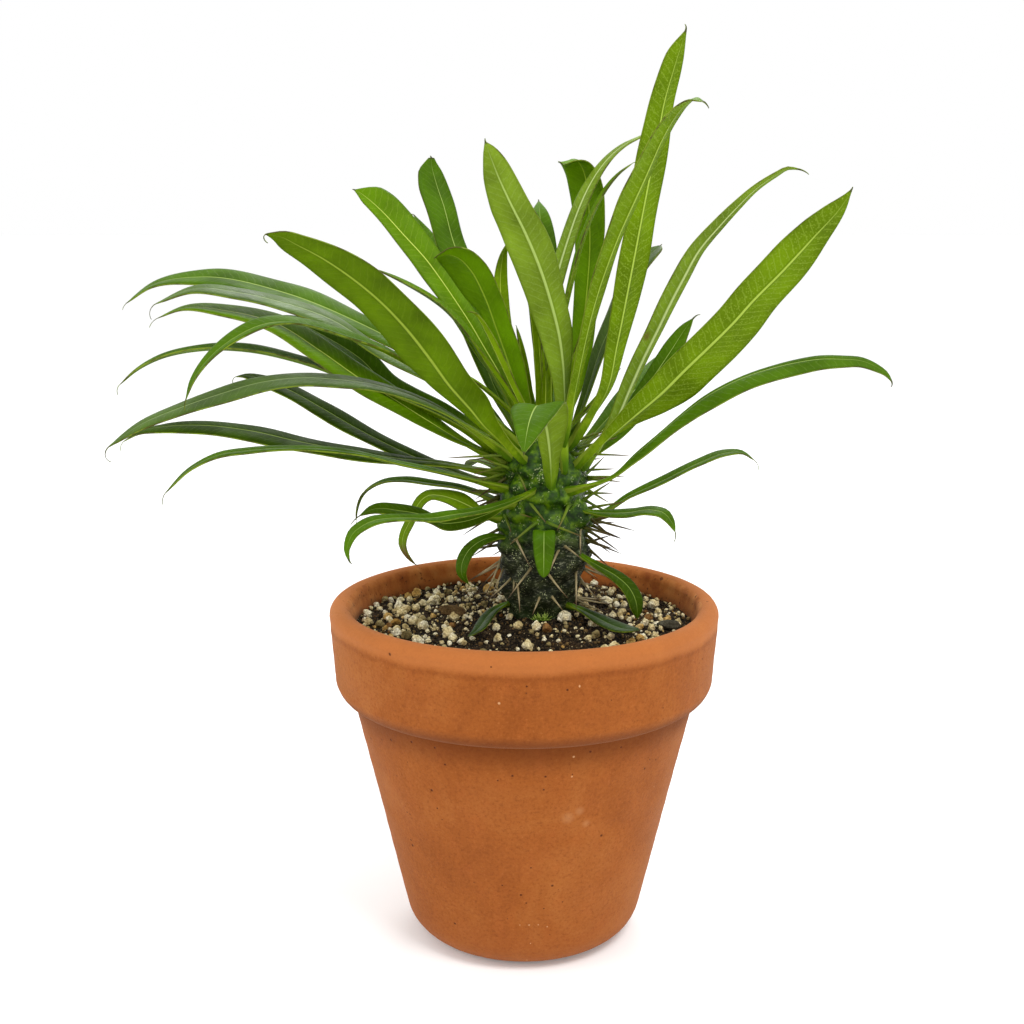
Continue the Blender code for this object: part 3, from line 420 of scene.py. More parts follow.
# larger lumps on the mix: x, y and radius, and the kind where it isn't cream
CREAM, OCHRE, DUSTY, PEBBLE = 0, 1, 2, 3
LUMPS = (
    (-38, 32, 1.7, OCHRE), (-35, 42, 1.1, DUSTY), (-31, 22, 2.2), (-27, 36, 1.4, DUSTY), (-35, 18, 1.5),
    (-37, 12, 1.3), (-33, 12, 1.2), (-50, 14, 1.3), (-43, 15, 2), (-42, 7, 1.5), (-46, 2, 1.6, OCHRE),
    (-43, -4, 1.6, OCHRE), (-52, -3, 1.5), (-48, -6, 1.5, DUSTY), (-37, -4, 1.8), (-34, -1, 1.3, DUSTY),
    (-33, -10, 1.8), (-42, -12, 1.3), (-38, -20, 1.9, DUSTY), (-48, -21, 1.2), (-44, -24, 1.2),
    (-41, -27, 1.1), (-37, -28, 1.1), (-34, -26, 1.9), (-30, -35, 1.4), (-28, -34, 1.4),
    (-25, -21, 1.9), (-23, -24, 1.4), (-20, -28, 1.5), (-23, -41, 1.5), (-18, -41, 1.3),
    (-10, -44, 1.5), (-3, -43, 1.5), (-9, -15, 1.4), (-10, -5, 1.1, DUSTY), (-2, -15, 1.7),
    (-19, -8, 0.8), (-27, 8, 1.5), (-21, 13, 1.2), (-19, 13, 1.2, DUSTY), (-13, -38, 1.2, DUSTY),
    (-13, 37, 1.6, OCHRE), (14, -6, 2.3), (7, -17, 1.6, PEBBLE), (4, -15, 1.6), (1, -34, 1.8),
    (2, -42, 1.2), (8, -38, 0.9), (13, -41, 1.2), (13, -19, 0.8), (21, 36, 1.1), (21, 9, 1.5),
    (24, 8, 0.8), (29, 18, 1.9), (32, 15, 1.3), (26, -6, 1.6), (35, 15, 1.2), (23, -22, 1.4, DUSTY),
    (25, -34, 1.4), (28, -34, 1.7), (32, -36, 1.1), (34, -27, 1.5, OCHRE), (37, -25, 1.5, OCHRE),
    (40, -16, 0.8), (32, -11, 1), (35, -10, 1), (40, -8, 1.4), (44, -7, 1.1), (45, 16, 2), (46, 8, 1.3),
    (46, -2, 1.3), (48, -2, 1.6, OCHRE), (51, -8, 1.3), (43, -24, 1.2),
)
LUMP_GROWTH = 1.12
# how common each kind is among loose grains
LOOSE_KINDS = (CREAM,) * 14 + (DUSTY,) * 4 + (OCHRE, PEBBLE)
# loose grains: how many, their smallest and largest radius, and how far they stick out
GRAVEL = (305, 0.8, 1.9, 0.45)
GRIT = (560, 0.4, 0.9, 0.4)
EARTH_CRUMBS = (1300, 0.35, 0.9, 0.3)
BARK_CRUMBS = (700, 0.35, 1.0, 0.3)
# pumice lies thinly between these values of x and of y
THIN_X, THIN_Y = (-22.0, 36.0), (-50.0, -4.0)
THIN_CHANCE = 0.14
STEM_CLEARANCE = 9.5
CHIP_PLACE = (-24.0, 0.5, 111.6)
CHIP_SIZE = (5.4, 2.3, 0.9)
CHIP_TURNS = (("Z", 24.0), ("X", 34.0), ("Y", 14.0))
STONE_PLACE = (48.0, -10.0, 109.6)
STONE_SIZE = (4.0, 2.6, 1.7)
TUFT_PLACE = (5.5, -7.5, 110.2)
TUFT_BRISTLES = 70
TUFT_LENGTHS = (1.6, 3.4)
TUFT_SHARES = (0.0, 0.35, 0.7, 1.0)
TUFT_RADII = (0.22, 0.18, 0.12, 0.03)

# spines: angle round the stem, height, heading and pitch, length, and kind of colour
GREEN, BROWN, TAN = 0, 1, 2
SPINE_RADII = (0.6, 0.54, 0.4)
SPINE_SIDES = 8
SPINE_STATIONS = 9
SPINE_ROOT = 1.0
SPINE_BEND = 0.045
# knobs up to these heights carry tan and brown spines; those within the angle of the front, above
# the height, carry only the spines in the table
TAN_TOP = 134.0
BROWN_TOP = 150.0
FRONT_ANGLE = 82.0
FRONT_BOTTOM = 117.0
LOWEST_SPINE_TIP = 112.5
LOWEST_PITCH = -12.0
# pitch of the lowest of these spines and how much it grows to the highest, and their lengths
KNOB_SPINE_PITCH = -42.0
KNOB_SPINE_PITCH_RISE = 58.0
KNOB_SPINE_LENGTHS = (9.0, 14.5)
SPINES = [
    (185, 165, 208, 0, 15, GREEN), (205, 165, 197, 0, 22, GREEN), (10, 168, 350, 20, 15, GREEN),
    (335, 165, 335, 4, 20, GREEN), (190, 157, 213, -25, 13, BROWN), (215, 161, 299, -47, 9, GREEN),
    (350, 154, 326, -26, 10, GREEN), (345, 149, 330, 38, 12, GREEN), (350, 157, 300, 9, 10, GREEN),
    (330, 155, 250, -35, 8, GREEN), (190, 149, 230, 5, 10, BROWN), (195, 140, 210, -18, 14, BROWN),
    (240, 152, 306, -33, 12, GREEN), (272, 144, 320, -11, 13, GREEN), (304, 150, 250, -32, 12, GREEN),
    (258, 144, 223, -22, 13, GREEN), (205, 145, 280, -25, 9, GREEN), (215, 147, 310, -5, 10, GREEN),
    (353, 142, 319, 17, 10, BROWN), (350, 144, 304, -22, 10, BROWN), (334, 141, 328, -7, 14, BROWN),
    (350, 138, 315, -21, 12, BROWN), (355, 134, 327, 25, 10, BROWN), (350, 133, 314, -25, 9, BROWN),
    (328, 141, 266, -38, 11, TAN), (296, 136, 304, -12, 10, TAN), (195, 128, 247, -40, 13, TAN),
    (198, 132, 215, -65, 16, TAN), (214, 124, 231, -23, 13, TAN), (221, 124, 268, -18, 8, TAN),
    (231, 124, 278, -40, 12, TAN), (252, 129, 227, -34, 14, TAN), (228, 139, 294, -33, 13, TAN),
    (269, 119, 253, -26, 9, TAN), (286, 119, 297, -22, 9, TAN), (275, 127, 298, -26, 13, TAN),
    (290, 135, 248, -30, 12, TAN), (322, 127, 270, -46, 14, TAN), (345, 124, 293, -18, 9, TAN),
    (344, 123, 330, -40, 10, TAN), (188, 146, 205, -24, 16, BROWN), (192, 138, 196, -34, 13, BROWN),
    (186, 134, 188, -8, 12, BROWN), (194, 130, 206, -28, 14, TAN), (188, 156, 192, 4, 14, GREEN),
    (355, 150, 345, -28, 12, GREEN), (352, 146, 340, 16, 14, GREEN), (348, 136, 338, -14, 13, BROWN),
    (356, 139, 348, -30, 12, BROWN), (350, 128, 340, -30, 11, TAN), (200, 160, 214, 22, 12, GREEN),
]


# ---------------------------------------------------------------- material building

def srgb(red, green, blue):
    """Colour from 0-255 display values to linear light."""
    def linear(value):
        value /= 255.0
        return value / 12.92 if value <= 0.04045 else ((value + 0.055) / 1.055) ** 2.4
    return (linear(red), linear(green), linear(blue), 1.0)


class Look:
    """A Principled material with short names for the nodes that feed it."""

    def __init__(self, name, **fixed):
        self.material = bpy.data.materials.new(name)
        self.material.use_nodes = True
        self.tree = self.material.node_tree
        self.shader = self.tree.nodes["Principled BSDF"]
        for key, value in fixed.items():
            self.shader.inputs[key.replace("_", " ")].default_value = value

    def node(self, kind, inputs=None, **settings):
        made = self.tree.nodes.new("ShaderNode" + kind)
        for key, value in settings.items():
            setattr(made, key, value)
        for key, value in (inputs or {}).items():
            self.feed(made.inputs[key], value)
        return made

    def feed(self, socket, value):
        if isinstance(value, bpy.types.NodeSocket):
            self.tree.links.new(value, socket)
        else:
            socket.default_value = value

    def place(self):
        """Object coordinates, in metres."""
        return self.node("TexCoord").outputs["Object"]

    def parts(self, vector):
        return self.node("SeparateXYZ", {"Vector": vector}).outputs

    def uv(self, name):
        return self.parts(self.node("UVMap", uv_map=name).outputs["UV"])

    def calc(self, operation, first, second=0.0, third=None):
        inputs = {0: first, 1: second}
        if third is not None:
            inputs[2] = third
        return self.node("Math", inputs, operation=operation).outputs[0]

    def times(self, first, second):
        return self.calc("MULTIPLY", first, second)

    def noise(self, vector, size, detail=3.0, roughness=0.55, distortion=0.0):
        return self.node("TexNoise", {"Vector": vector, "Scale": 1.0 / (size * MM), "Detail": detail,
                                      "Roughness": roughness, "Distortion": distortion}).outputs["Fac"]

    def cells(self, vector, size, output="Distance"):
        return self.node("TexVoronoi", {"Vector": vector, "Scale": 1.0 / (size * MM)}).outputs[output]

    def stretch(self, vector, upward):
        """Coordinates scaled along z."""
        return self.node("Mapping", {"Vector": vector, "Scale": (1.0, 1.0, upward)}).outputs[0]

    def span(self, value, low, high, to_low=0.0, to_high=1.0):
        """Smoothly maps low..high to to_low..to_high, and no further."""
        return self.node("MapRange", {0: value, 1: low, 2: high, 3: to_low, 4: to_high},
                         interpolation_type="SMOOTHSTEP", clamp=True).outputs[0]

    def mix(self, share, first, second):
        return self.node("Mix", {0: share, 6: first, 7: second}, data_type="RGBA").outputs[2]

    def tint(self, color, mask, strength, *rgb):
        """The colour moved towards another one, by the mask times the strength."""
        return self.mix(self.times(mask, strength), color, srgb(*rgb))

    def wash(self, color, value, low, high, strength, *rgb):
        """The colour moved towards another one, up to the strength as the value nears high."""
        return self.mix(self.span(value, low, high, 0.0, strength), color, srgb(*rgb))

    def ramp(self, value, *stops):
        """Colours at positions, each as display values or as one colour in linear light."""
        made = self.node("ValToRGB", {"Fac": value})
        elements = made.color_ramp.elements
        while len(elements) < len(stops):
            elements.new(0.5)
        for element, (position, *color) in zip(elements, stops):
            element.position = position
            element.color = color[0] if len(color) == 1 else srgb(*color)
        return made.outputs["Color"]

    def finish(self, color, roughness=None, height=None, depth=0.1, strength=1.0):
        """Colour, roughness and a bump whose full height is the depth in millimetres."""
        self.feed(self.shader.inputs["Base Color"], color)
        if roughness is not None:
            self.feed(self.shader.inputs["Roughness"], roughness)
        if height is not None:
            bump = self.node("Bump", {"Strength": strength, "Distance": depth * MM, "Height": height})
            self.feed(self.shader.inputs["Normal"], bump.outputs["Normal"])
        return self.material


# ---------------------------------------------------------------- mesh building

def added(name, data):
    """A new object in the scene."""
    thing = bpy.data.objects.new(name, data)
    bpy.context.scene.collection.objects.link(thing)
    return thing


def from_bmesh(name, mesh):
    data = bpy.data.meshes.new(name)
    mesh.to_mesh(data)
    mesh.free()
    return added(name, data)


def mesh_object(name, points, faces, materials, slots=None, maps=None):
    """A smooth-shaded object from points in millimetres."""
    mesh = bpy.data.meshes.new(name)
    mesh.from_pydata((np.asarray(points, dtype=float) * MM).tolist(), [], faces)
    for material in materials:
        mesh.materials.append(material)
    if slots is not None:
        mesh.polygons.foreach_set("material_index", slots)
    for map_name, places in (maps or {}).items():
        layer = mesh.uv_layers.new(name=map_name)
        corner = np.empty(len(mesh.loops), dtype=np.int32)
        mesh.loops.foreach_get("vertex_index", corner)
        layer.uv.foreach_set("vector", np.asarray(places, dtype=np.float32)[corner].ravel())
    mesh.shade_smooth()
    return added(name, mesh)


def faces_outward(thing):
    mesh = bmesh.new()
    mesh.from_mesh(thing.data)
    bmesh.ops.recalc_face_normals(mesh, faces=mesh.faces)
    mesh.to_mesh(thing.data)
    mesh.free()


def ring_faces(rings, around):
    """Quads between rings of points, with a face at each end."""
    faces = []
    for i in range(rings - 1):
        for j in range(around):
            k = (j + 1) % around
            faces.append((i * around + j, i * around + k, (i + 1) * around + k, (i + 1) * around + j))
    faces.append(tuple(range(around))[::-1])
    faces.append(tuple(range((rings - 1) * around, rings * around)))
    return faces


def smooth_step(share):
    share = np.clip(share, 0.0, 1.0)
    return share * share * (3.0 - 2.0 * share)


def rough(x, y, z, size):
    """Noise from -1 to 1 with features of the given size."""
    return noise.noise(Vector((x, y, z)) / size)


def unit(vector):
    return vector / np.linalg.norm(vector)


def row_units(vectors):
    """The vectors, one a row, at length 1."""
    return vectors / np.linalg.norm(vectors, axis=1)[:, None]


def bearing(aim, pitch):
    """Direction with a heading and a pitch in radians."""
    return np.array((math.cos(aim) * math.cos(pitch), math.sin(aim) * math.cos(pitch), math.sin(pitch)))


def polar(radius, angle):
    """x and y at a radius and an angle in radians."""
    return radius * math.cos(angle), radius * math.sin(angle)


def smooth_path(points, count):
    """Evenly spread points on a smooth curve through the given ones."""
    points = np.asarray(points, dtype=float)
    chords = np.linalg.norm(np.diff(points, axis=0), axis=1)
    knots = np.concatenate([[0.0], np.cumsum(chords)])
    slopes = np.gradient(points, knots, axis=0)
    places = np.linspace(0.0, knots[-1], count)
    index = np.clip(np.searchsorted(knots, places, side="right") - 1, 0, len(chords) - 1)
    width = chords[index][:, None]
    u = (places - knots[index])[:, None] / width
    start, end = points[index], points[index + 1]
    return (start * (2 * u ** 3 - 3 * u ** 2 + 1) + slopes[index] * width * (u ** 3 - 2 * u ** 2 + u)
            + end * (3 * u ** 2 - 2 * u ** 3) + slopes[index + 1] * width * (u ** 3 - u ** 2))


def steady_line(xs, ys, at):
    """Values at places on a smooth line through points that never swings past them."""
    xs, ys = np.array(xs, dtype=float), np.array(ys, dtype=float)
    steps, rises = np.diff(xs), np.diff(ys) / np.diff(xs)
    slopes = np.zeros(len(xs))
    turning = rises[:-1] * rises[1:] > 0
    with np.errstate(divide="ignore", invalid="ignore"):
        mean = 2.0 * rises[:-1] * rises[1:] / (rises[:-1] + rises[1:])
    slopes[1:-1] = np.where(turning, mean, 0.0)
    slopes[0], slopes[-1] = rises[0], rises[-1]
    k = np.clip(np.searchsorted(xs, at, side="right") - 1, 0, len(steps) - 1)
    h = steps[k]
    s = (at - xs[k]) / h
    return (ys[k] * (1 + 2 * s) * (1 - s) ** 2 + slopes[k] * h * s * (1 - s) ** 2
            + ys[k + 1] * s * s * (3 - 2 * s) + slopes[k + 1] * h * s * s * (s - 1))


def tube(points, radii, around):
    """Ring points of a tapering tube along a line."""
    points = np.asarray(points, dtype=float)
    along = row_units(np.gradient(points, axis=0))
    helper = np.array((0.0, 0.0, 1.0)) if abs(along[0][2]) < 0.8 else np.array((1.0, 0.0, 0.0))
    angles = np.linspace(0.0, math.tau, around, endpoint=False)
    rings = []
    for point, direction, radius in zip(points, along, radii):
        side = unit(np.cross(helper, direction))
        helper = np.cross(direction, side)
        rings.append(point + radius * (np.outer(np.cos(angles), side) + np.outer(np.sin(angles), helper)))
    return np.concatenate(rings)


class Heap:
    """Many small closed shapes gathered into one mesh."""

    def __init__(self):
        self.points, self.faces, self.slots, self.places = [], [], [], []

    def add(self, points, faces, slot=0):
        start = len(self.points)
        self.points.extend(np.asarray(points, dtype=float).tolist())
        self.faces.extend(tuple(start + i for i in face) for face in faces)
        self.slots.extend([slot] * len(faces))

    def add_tube(self, line, radii, around, shares):
        """A tube whose map holds the way round it and the share of its length."""
        self.add(tube(line, radii, around), ring_faces(len(line), around))
        self.places.extend((j / around, float(s)) for s in shares for j in range(around))

    def made(self, name, materials, map_name=None):
        maps = {map_name: self.places} if map_name else None
        return mesh_object(name, self.points, self.faces, materials, self.slots, maps)


def ball(steps):
    """Points and triangles of a unit icosphere."""
    mesh = bmesh.new()
    bmesh.ops.create_icosphere(mesh, subdivisions=steps, radius=1.0)
    points = np.array([v.co for v in mesh.verts])
    faces = [tuple(v.index for v in face.verts) for face in mesh.faces]
    mesh.free()
    return points, faces


# ---------------------------------------------------------------- looks
# heights and distances that come from the object's coordinates are in metres here

def on_pot(marks):
    """Turns marks given by angle and height into places on the pot's outside."""
    placed = []
    for angle, height, size in marks:
        if height < COLLAR_BOTTOM:
            radius = BODY_FOOT_RADIUS + (BODY_TOP_RADIUS - BODY_FOOT_RADIUS) * height / COLLAR_BOTTOM
        else:
            share = (height - COLLAR_WALL_BOTTOM) / (COLLAR_WALL_TOP - COLLAR_WALL_BOTTOM)
            radius = COLLAR_RADIUS + (RIM_RADIUS - COLLAR_RADIUS) * share
        placed.append((*polar(radius, math.radians(angle)), height, size))
    return placed


def spots(look, place, marks, edge=0.35):
    """1 within the marks, 0 outside, soft over a share of their radius."""
    found = 0.0
    for x, y, z, radius in marks:
        distance = look.node("VectorMath", {0: place, 1: (x * MM, y * MM, z * MM)}, operation="DISTANCE")
        spot = look.span(distance.outputs["Value"], radius * MM * (1.0 + edge), radius * MM * (1.0 - edge))
        found = look.calc("MAXIMUM", spot, found)
    return found


def clay_look():
    """Fired earthenware: matt orange with ochre clouds, dark pits, pale specks and a stained bore."""
    look = Look("terracotta", Roughness=0.88, Specular_IOR_Level=0.08, Sheen_Weight=0.1, Sheen_Roughness=0.5)
    look.shader.inputs["Sheen Tint"].default_value = (1.0, 0.72, 0.48, 1.0)
    place = look.place()
    x, y, z = look.parts(place)
    radius = look.node("VectorMath", {0: look.node("CombineXYZ", {0: x, 1: y}).outputs[0]},
                       operation="LENGTH").outputs["Value"]
    clouds = look.noise(place, 38.0, 4.0, 0.65, 0.8)
    color = look.ramp(clouds, (0.3, 135, 72, 27), (0.5, 147, 81, 32), (0.7, 158, 93, 42))
    color = look.wash(color, look.noise(look.stretch(place, 0.4), 5.0, 5.0, 0.7), 0.48, 0.7, 0.3, 164, 90, 40)
    color = look.wash(color, look.noise(look.stretch(place, 3.5), 22.0, 4.0, 0.6), 0.52, 0.75, 0.16,
                      126, 62, 22)
    fine = look.noise(place, 1.1, 5.0, 0.8)
    color = look.wash(color, fine, 0.45, 0.78, 0.75, 108, 50, 17)
    color = look.wash(color, fine, 0.45, 0.2, 0.5, 184, 116, 62)
    # painted highlight on the top of the lip, and painted shade in the groove below it
    wander = look.calc("MULTIPLY_ADD", look.noise(place, 24.0, 2.0), 0.003, -0.0015)
    level = look.calc("ADD", z, wander)
    color = look.tint(color, look.span(level, 0.1085, 0.1115), 0.55, 184, 112, 60)
    groove = look.times(look.span(level, 0.1072, 0.1084), look.span(level, 0.1098, 0.1086))
    color = look.tint(color, groove, 0.22, 108, 50, 18)
    # painted shade under the collar and on its rounded underside, and a paler foot
    under = look.times(look.span(z, 0.0725, 0.0845), look.span(z, 0.0905, 0.0865))
    color = look.tint(color, under, 0.62, 90, 40, 11)
    color = look.tint(color, look.span(z, 0.022, 0.0), 0.3, 150, 82, 42)
    pit_size = look.span(look.noise(place, 7.0, 1.0), 0.46, 0.75, 0.0, 0.13)
    pit = look.calc("MAXIMUM", look.calc("LESS_THAN", look.cells(place, 3.4), pit_size),
                    spots(look, place, on_pot(CLAY_PITS)))
    color = look.tint(color, pit, 0.8, 66, 26, 10)
    speck_size = look.span(look.noise(place, 11.0, 1.0), 0.52, 0.8, 0.0, 0.1)
    specks = look.cells(look.stretch(place, 0.7), 5.0)
    speck = look.calc("MAXIMUM", look.calc("LESS_THAN", specks, speck_size),
                      spots(look, place, on_pot(CLAY_SPECKS)))
    blotches = look.times(spots(look, place, on_pot(CLAY_BLOTCHES), 0.9), 0.26)
    color = look.tint(color, look.calc("MAXIMUM", speck, blotches), 0.7, 206, 158, 112)
    # the bore is darker and stained by water and earth
    bore_edge = look.calc("MULTIPLY_ADD", z, BORE_LINE_SLOPE, BORE_LINE_RADIUS)
    inside = look.calc("LESS_THAN", radius, look.calc("ADD", bore_edge, BORE_MARGIN))
    stain = look.noise(look.stretch(place, 0.6), 9.0, 5.0, 0.65)
    bore = look.ramp(stain, (0.3, 134, 68, 26), (0.5, 168, 98, 44), (0.72, 186, 120, 64))
    wet = look.times(look.span(z, 0.1115, 0.1075), look.span(stain, 0.4, 0.6, 0.2, 0.9))
    bore = look.mix(wet, bore, srgb(76, 38, 14))
    bore = look.tint(bore, look.span(look.noise(place, 1.8, 2.0), 0.62, 0.68), 0.7, 66, 32, 12)
    color = look.mix(inside, color, bore)
    height = look.calc("SUBTRACT", look.noise(place, 0.9, 5.0, 0.7), look.times(pit, 0.9))
    rough_map = look.span(look.noise(place, 20.0, 2.0), 0.3, 0.7, 0.78, 0.93)
    return look.finish(color, rough_map, height, depth=0.2, strength=0.85)


def earth_look():
    """Dark damp potting mix, gritty and speckled."""
    look = Look("potting_mix", Roughness=0.95, Specular_IOR_Level=0.1)
    place = look.place()
    grit = look.noise(place, 1.1, 5.0, 0.75)
    color = look.ramp(grit, (0.36, 6, 5, 4), (0.52, 26, 20, 13), (0.64, 72, 58, 40), (0.76, 150, 130, 98))
    color = look.wash(color, look.noise(place, 12.0, 2.0), 0.48, 0.68, 0.5, 52, 35, 20)
    grain = look.cells(place, 0.75)
    chance = look.parts(look.cells(place, 0.75, "Color"))[0]
    lit = look.times(look.span(grain, 0.5, 0.25), look.span(chance, 0.55, 0.95, 0.0, 0.8))
    color = look.mix(lit, color, srgb(112, 92, 60))
    speck = look.times(look.span(grain, 0.34, 0.2), look.span(chance, 0.9, 0.94))
    color = look.mix(speck, color, srgb(190, 172, 134))
    return look.finish(color, None, look.calc("SUBTRACT", look.times(grit, 0.5), grain), depth=0.6)


def crumb_look(name, dark, middle, light):
    """Crumbs of bark and earth, and the chip and the stone."""
    look = Look(name, Roughness=0.92, Specular_IOR_Level=0.1)
    place = look.place()
    tone = look.noise(place, 5.0, 2.0)
    fine = look.noise(place, 0.48, 4.0, 0.7)
    color = look.ramp(look.calc("MULTIPLY_ADD", fine, 0.6, look.times(tone, 0.4)),
                      (0.36, *dark), (0.5, *middle), (0.64, *light))
    return look.finish(color, None, fine, depth=0.25)


def pumice_look(name, shade, body, light):
    """Porous stone with painted shade in its hollows, and soil caught in them."""
    look = Look(name, Roughness=0.93, Specular_IOR_Level=0.1)
    place = look.place()
    color = look.ramp(look.noise(place, 4.5, 1.0), (0.34, *shade), (0.5, *body), (0.66, *light))
    pores = look.cells(place, 0.8)
    # painted shade where the bump makes hollows
    color = look.wash(color, pores, 0.4, 0.7, 0.5, 128, 104, 62)
    color = look.wash(color, look.noise(place, 1.6, 4.0, 0.7), 0.62, 0.74, 0.7, 48, 36, 22)
    fine = look.noise(place, 0.5, 4.0, 0.7)
    return look.finish(color, None, look.calc("SUBTRACT", look.times(fine, 0.5), pores), depth=0.5)


def pumice_looks():
    return [pumice_look("pumice", (198, 176, 124), (230, 214, 166), (244, 236, 208)),
            pumice_look("pumice_ochre", (154, 116, 54), (196, 156, 88), (220, 190, 130)),
            pumice_look("pumice_dusty", (104, 92, 58), (148, 134, 92), (188, 172, 126)),
            pumice_look("pebble_brown", (70, 42, 16), (104, 66, 30), (136, 96, 54))]


def leaf_look(name, body, rib, gloss, rib_share, underside=False, vein_share=0.12, stipple=0.0, nicks=()):
    """A leaf surface: cloudy green, pale midrib, fine side veins and a fresher base.

    The map "size" holds the distance from the midrib and from the stem, "leaf" the shares.
    """
    body, rib = srgb(*body), srgb(*rib)
    shadow = [0.68 * value for value in body[:3]] + [1.0]
    light = [1.3 * value for value in body[:3]] + [1.0]
    vein = [0.55 * value + 0.45 * pale for value, pale in zip(body[:3], rib[:3])] + [1.0]
    roughness = 0.52 if underside else 0.42
    look = Look("leaf_" + name, Roughness=roughness, Specular_IOR_Level=gloss)
    place = look.place()
    size = look.uv("size")
    share = look.uv("leaf")
    across = look.calc("ABSOLUTE", look.calc("MULTIPLY_ADD", size[0], MAP_REACH, -0.5 * MAP_REACH))
    along = look.times(size[1], MAP_REACH)
    out = look.calc("ABSOLUTE", look.calc("MULTIPLY_ADD", share[0], 2.0, -1.0))
    color = look.ramp(look.noise(place, 13.0, 3.0, 0.55), (0.3, shadow), (0.5, body), (0.72, light))
    fine = look.noise(place, 0.8, 3.0, 0.7)
    color = look.mix(look.span(fine, 0.4, 0.75, 0.0, 0.22), color, shadow)
    # darker along the edges
    color = look.mix(look.span(out, 0.75, 1.0, 0.0, 0.4), color, shadow)
    # side veins, slanting towards the tip
    wobble = look.calc("MULTIPLY_ADD", look.noise(place, 3.0, 3.0), 2.4, -1.2)
    slant = look.times(look.calc("POWER", across, 1.2), 0.5)
    phase = look.calc("ADD", look.calc("SUBTRACT", along, slant), wobble)
    wave = look.calc("SINE", look.times(phase, math.tau / 2.6))
    fade = look.times(look.span(out, 0.97, 0.8), look.span(across, 0.4, 1.0))
    veins = look.times(look.span(wave, 0.72, 1.0), fade)
    color = look.mix(look.times(veins, vein_share), color, vein)
    if stipple:
        color = look.mix(look.times(look.span(look.cells(place, 0.75), 0.4, 0.16), stipple), color, vein)
    # the midrib narrows towards the tip, with painted shade beside it
    width = look.calc("MULTIPLY_ADD", share[1], -0.55 * rib_share, rib_share)
    ratio = look.calc("DIVIDE", out, width)
    groove = look.times(look.span(ratio, 3.4, 1.2), 0.5 if underside else 0.3)
    color = look.mix(groove, color, shadow)
    middle = look.times(look.span(ratio, 1.3, 0.6), look.span(share[1], 1.0, 0.8, 0.35, 0.85))
    color = look.mix(middle, color, rib)
    # yellow-green petiole, a foot as green as the stem, brown at the very tip
    petiole = look.ramp(look.noise(look.stretch(place, 0.5), 3.0, 3.0),
                        (0.35, 92, 124, 8), (0.65, 134, 160, 22))
    color = look.mix(look.times(look.span(share[1], 0.26, 0.04), 0.85), color, petiole)
    color = look.tint(color, look.span(along, 17.0, 6.5), 0.92, 62, 96, 5)
    color = look.wash(color, share[1], 0.993, 1.0, 0.8, 58, 52, 34)
    if nicks:
        color = look.tint(color, spots(look, place, nicks, 0.5), 0.85, 96, 70, 34)
    height = look.calc("MULTIPLY_ADD", veins, 0.5 if underside else -0.5, fine)
    rough_map = look.span(look.noise(place, 6.0, 2.0), 0.3, 0.7, roughness - 0.06, roughness + 0.08)
    return look.finish(color, rough_map, height, depth=0.12, strength=0.7)


def margin_look():
    """The leaf's edge: a thin line, pale at the petiole and brown here and there."""
    look = Look("leaf_margin", Roughness=0.5, Specular_IOR_Level=0.1)
    brown = look.times(look.span(look.noise(look.place(), 6.0, 3.0, 0.7), 0.44, 0.6),
                       look.span(look.uv("leaf")[1], 0.2, 0.45, 0.0, 0.8))
    return look.finish(look.mix(brown, srgb(112, 130, 34), srgb(62, 54, 26)))


def skin_look():
    """Stem skin: glossy green above, dark grey-green with silvery cracks below."""
    look = Look("stem_skin", Roughness=0.4, Specular_IOR_Level=0.16)
    place = look.place()
    height = look.parts(place)[2]
    wander = look.calc("MULTIPLY_ADD", look.noise(place, 7.0, 3.0), 0.016, -0.008)
    old = look.span(look.calc("ADD", height, wander), 0.143, 0.131)
    patches = look.noise(place, 3.2, 3.0, 0.6)
    green = look.ramp(patches, (0.34, 18, 38, 1), (0.5, 38, 68, 1), (0.68, 88, 118, 8))
    dark = look.ramp(patches, (0.32, 10, 15, 5), (0.5, 28, 34, 14), (0.7, 58, 64, 36))
    silver = look.noise(look.stretch(place, 3.0), 1.6, 5.0, 0.75)
    dark = look.wash(dark, silver, 0.53, 0.65, 0.7, 136, 138, 112)
    color = look.mix(old, green, dark)
    # clusters of pale flecks
    dots = look.span(look.cells(look.stretch(place, 0.7), 0.55), 0.34, 0.18)
    chance = look.span(look.noise(place, 3.6, 2.0), 0.53, 0.6)
    color = look.tint(color, look.times(dots, chance), 0.85, 184, 192, 138)
    color = look.tint(color, look.span(height, 0.118, 0.110), 0.5, 34, 56, 14)
    rough_map = look.span(old, 0.0, 1.0, 0.3, 0.62)
    bumps = look.calc("ADD", look.times(silver, 0.7), look.times(patches, 0.6))
    return look.finish(color, rough_map, bumps, depth=0.4, strength=0.85)


def spine_look(name, base, middle, tip):
    """A spine: colour runs from root to tip along the map "spine"."""
    look = Look(name, Roughness=0.5, Specular_IOR_Level=0.2)
    color = look.ramp(look.uv("spine")[1], (0.0, *base), (0.55, *middle), (0.85, *tip))
    grain = look.noise(look.place(), 1.0, 3.0)
    color = look.wash(color, grain, 0.4, 0.7, 0.25, 60, 48, 30)
    return look.finish(color, None, grain, depth=0.08)


def floor_look():
    look = Look("studio_floor", Roughness=0.95, Specular_IOR_Level=0.2, Emission_Strength=0.13)
    look.shader.inputs["Emission Color"].default_value = (1.0, 1.0, 1.0, 1.0)
    return look.finish(look.ramp(look.noise(look.place(), 900.0, 1.0),
                                 (0.3, (0.87, 0.87, 0.865, 1.0)), (0.7, (0.88, 0.88, 0.875, 1.0))))


# ---------------------------------------------------------------- clay pot

def arc(centre, radius, start, end, count):
    """Points of an arc in the (radius, height) half plane, angles in degrees."""
    angles = np.radians(np.linspace(start, end, count))
    return [(centre[0] + radius * math.cos(a), centre[1] + radius * math.sin(a)) for a in angles]


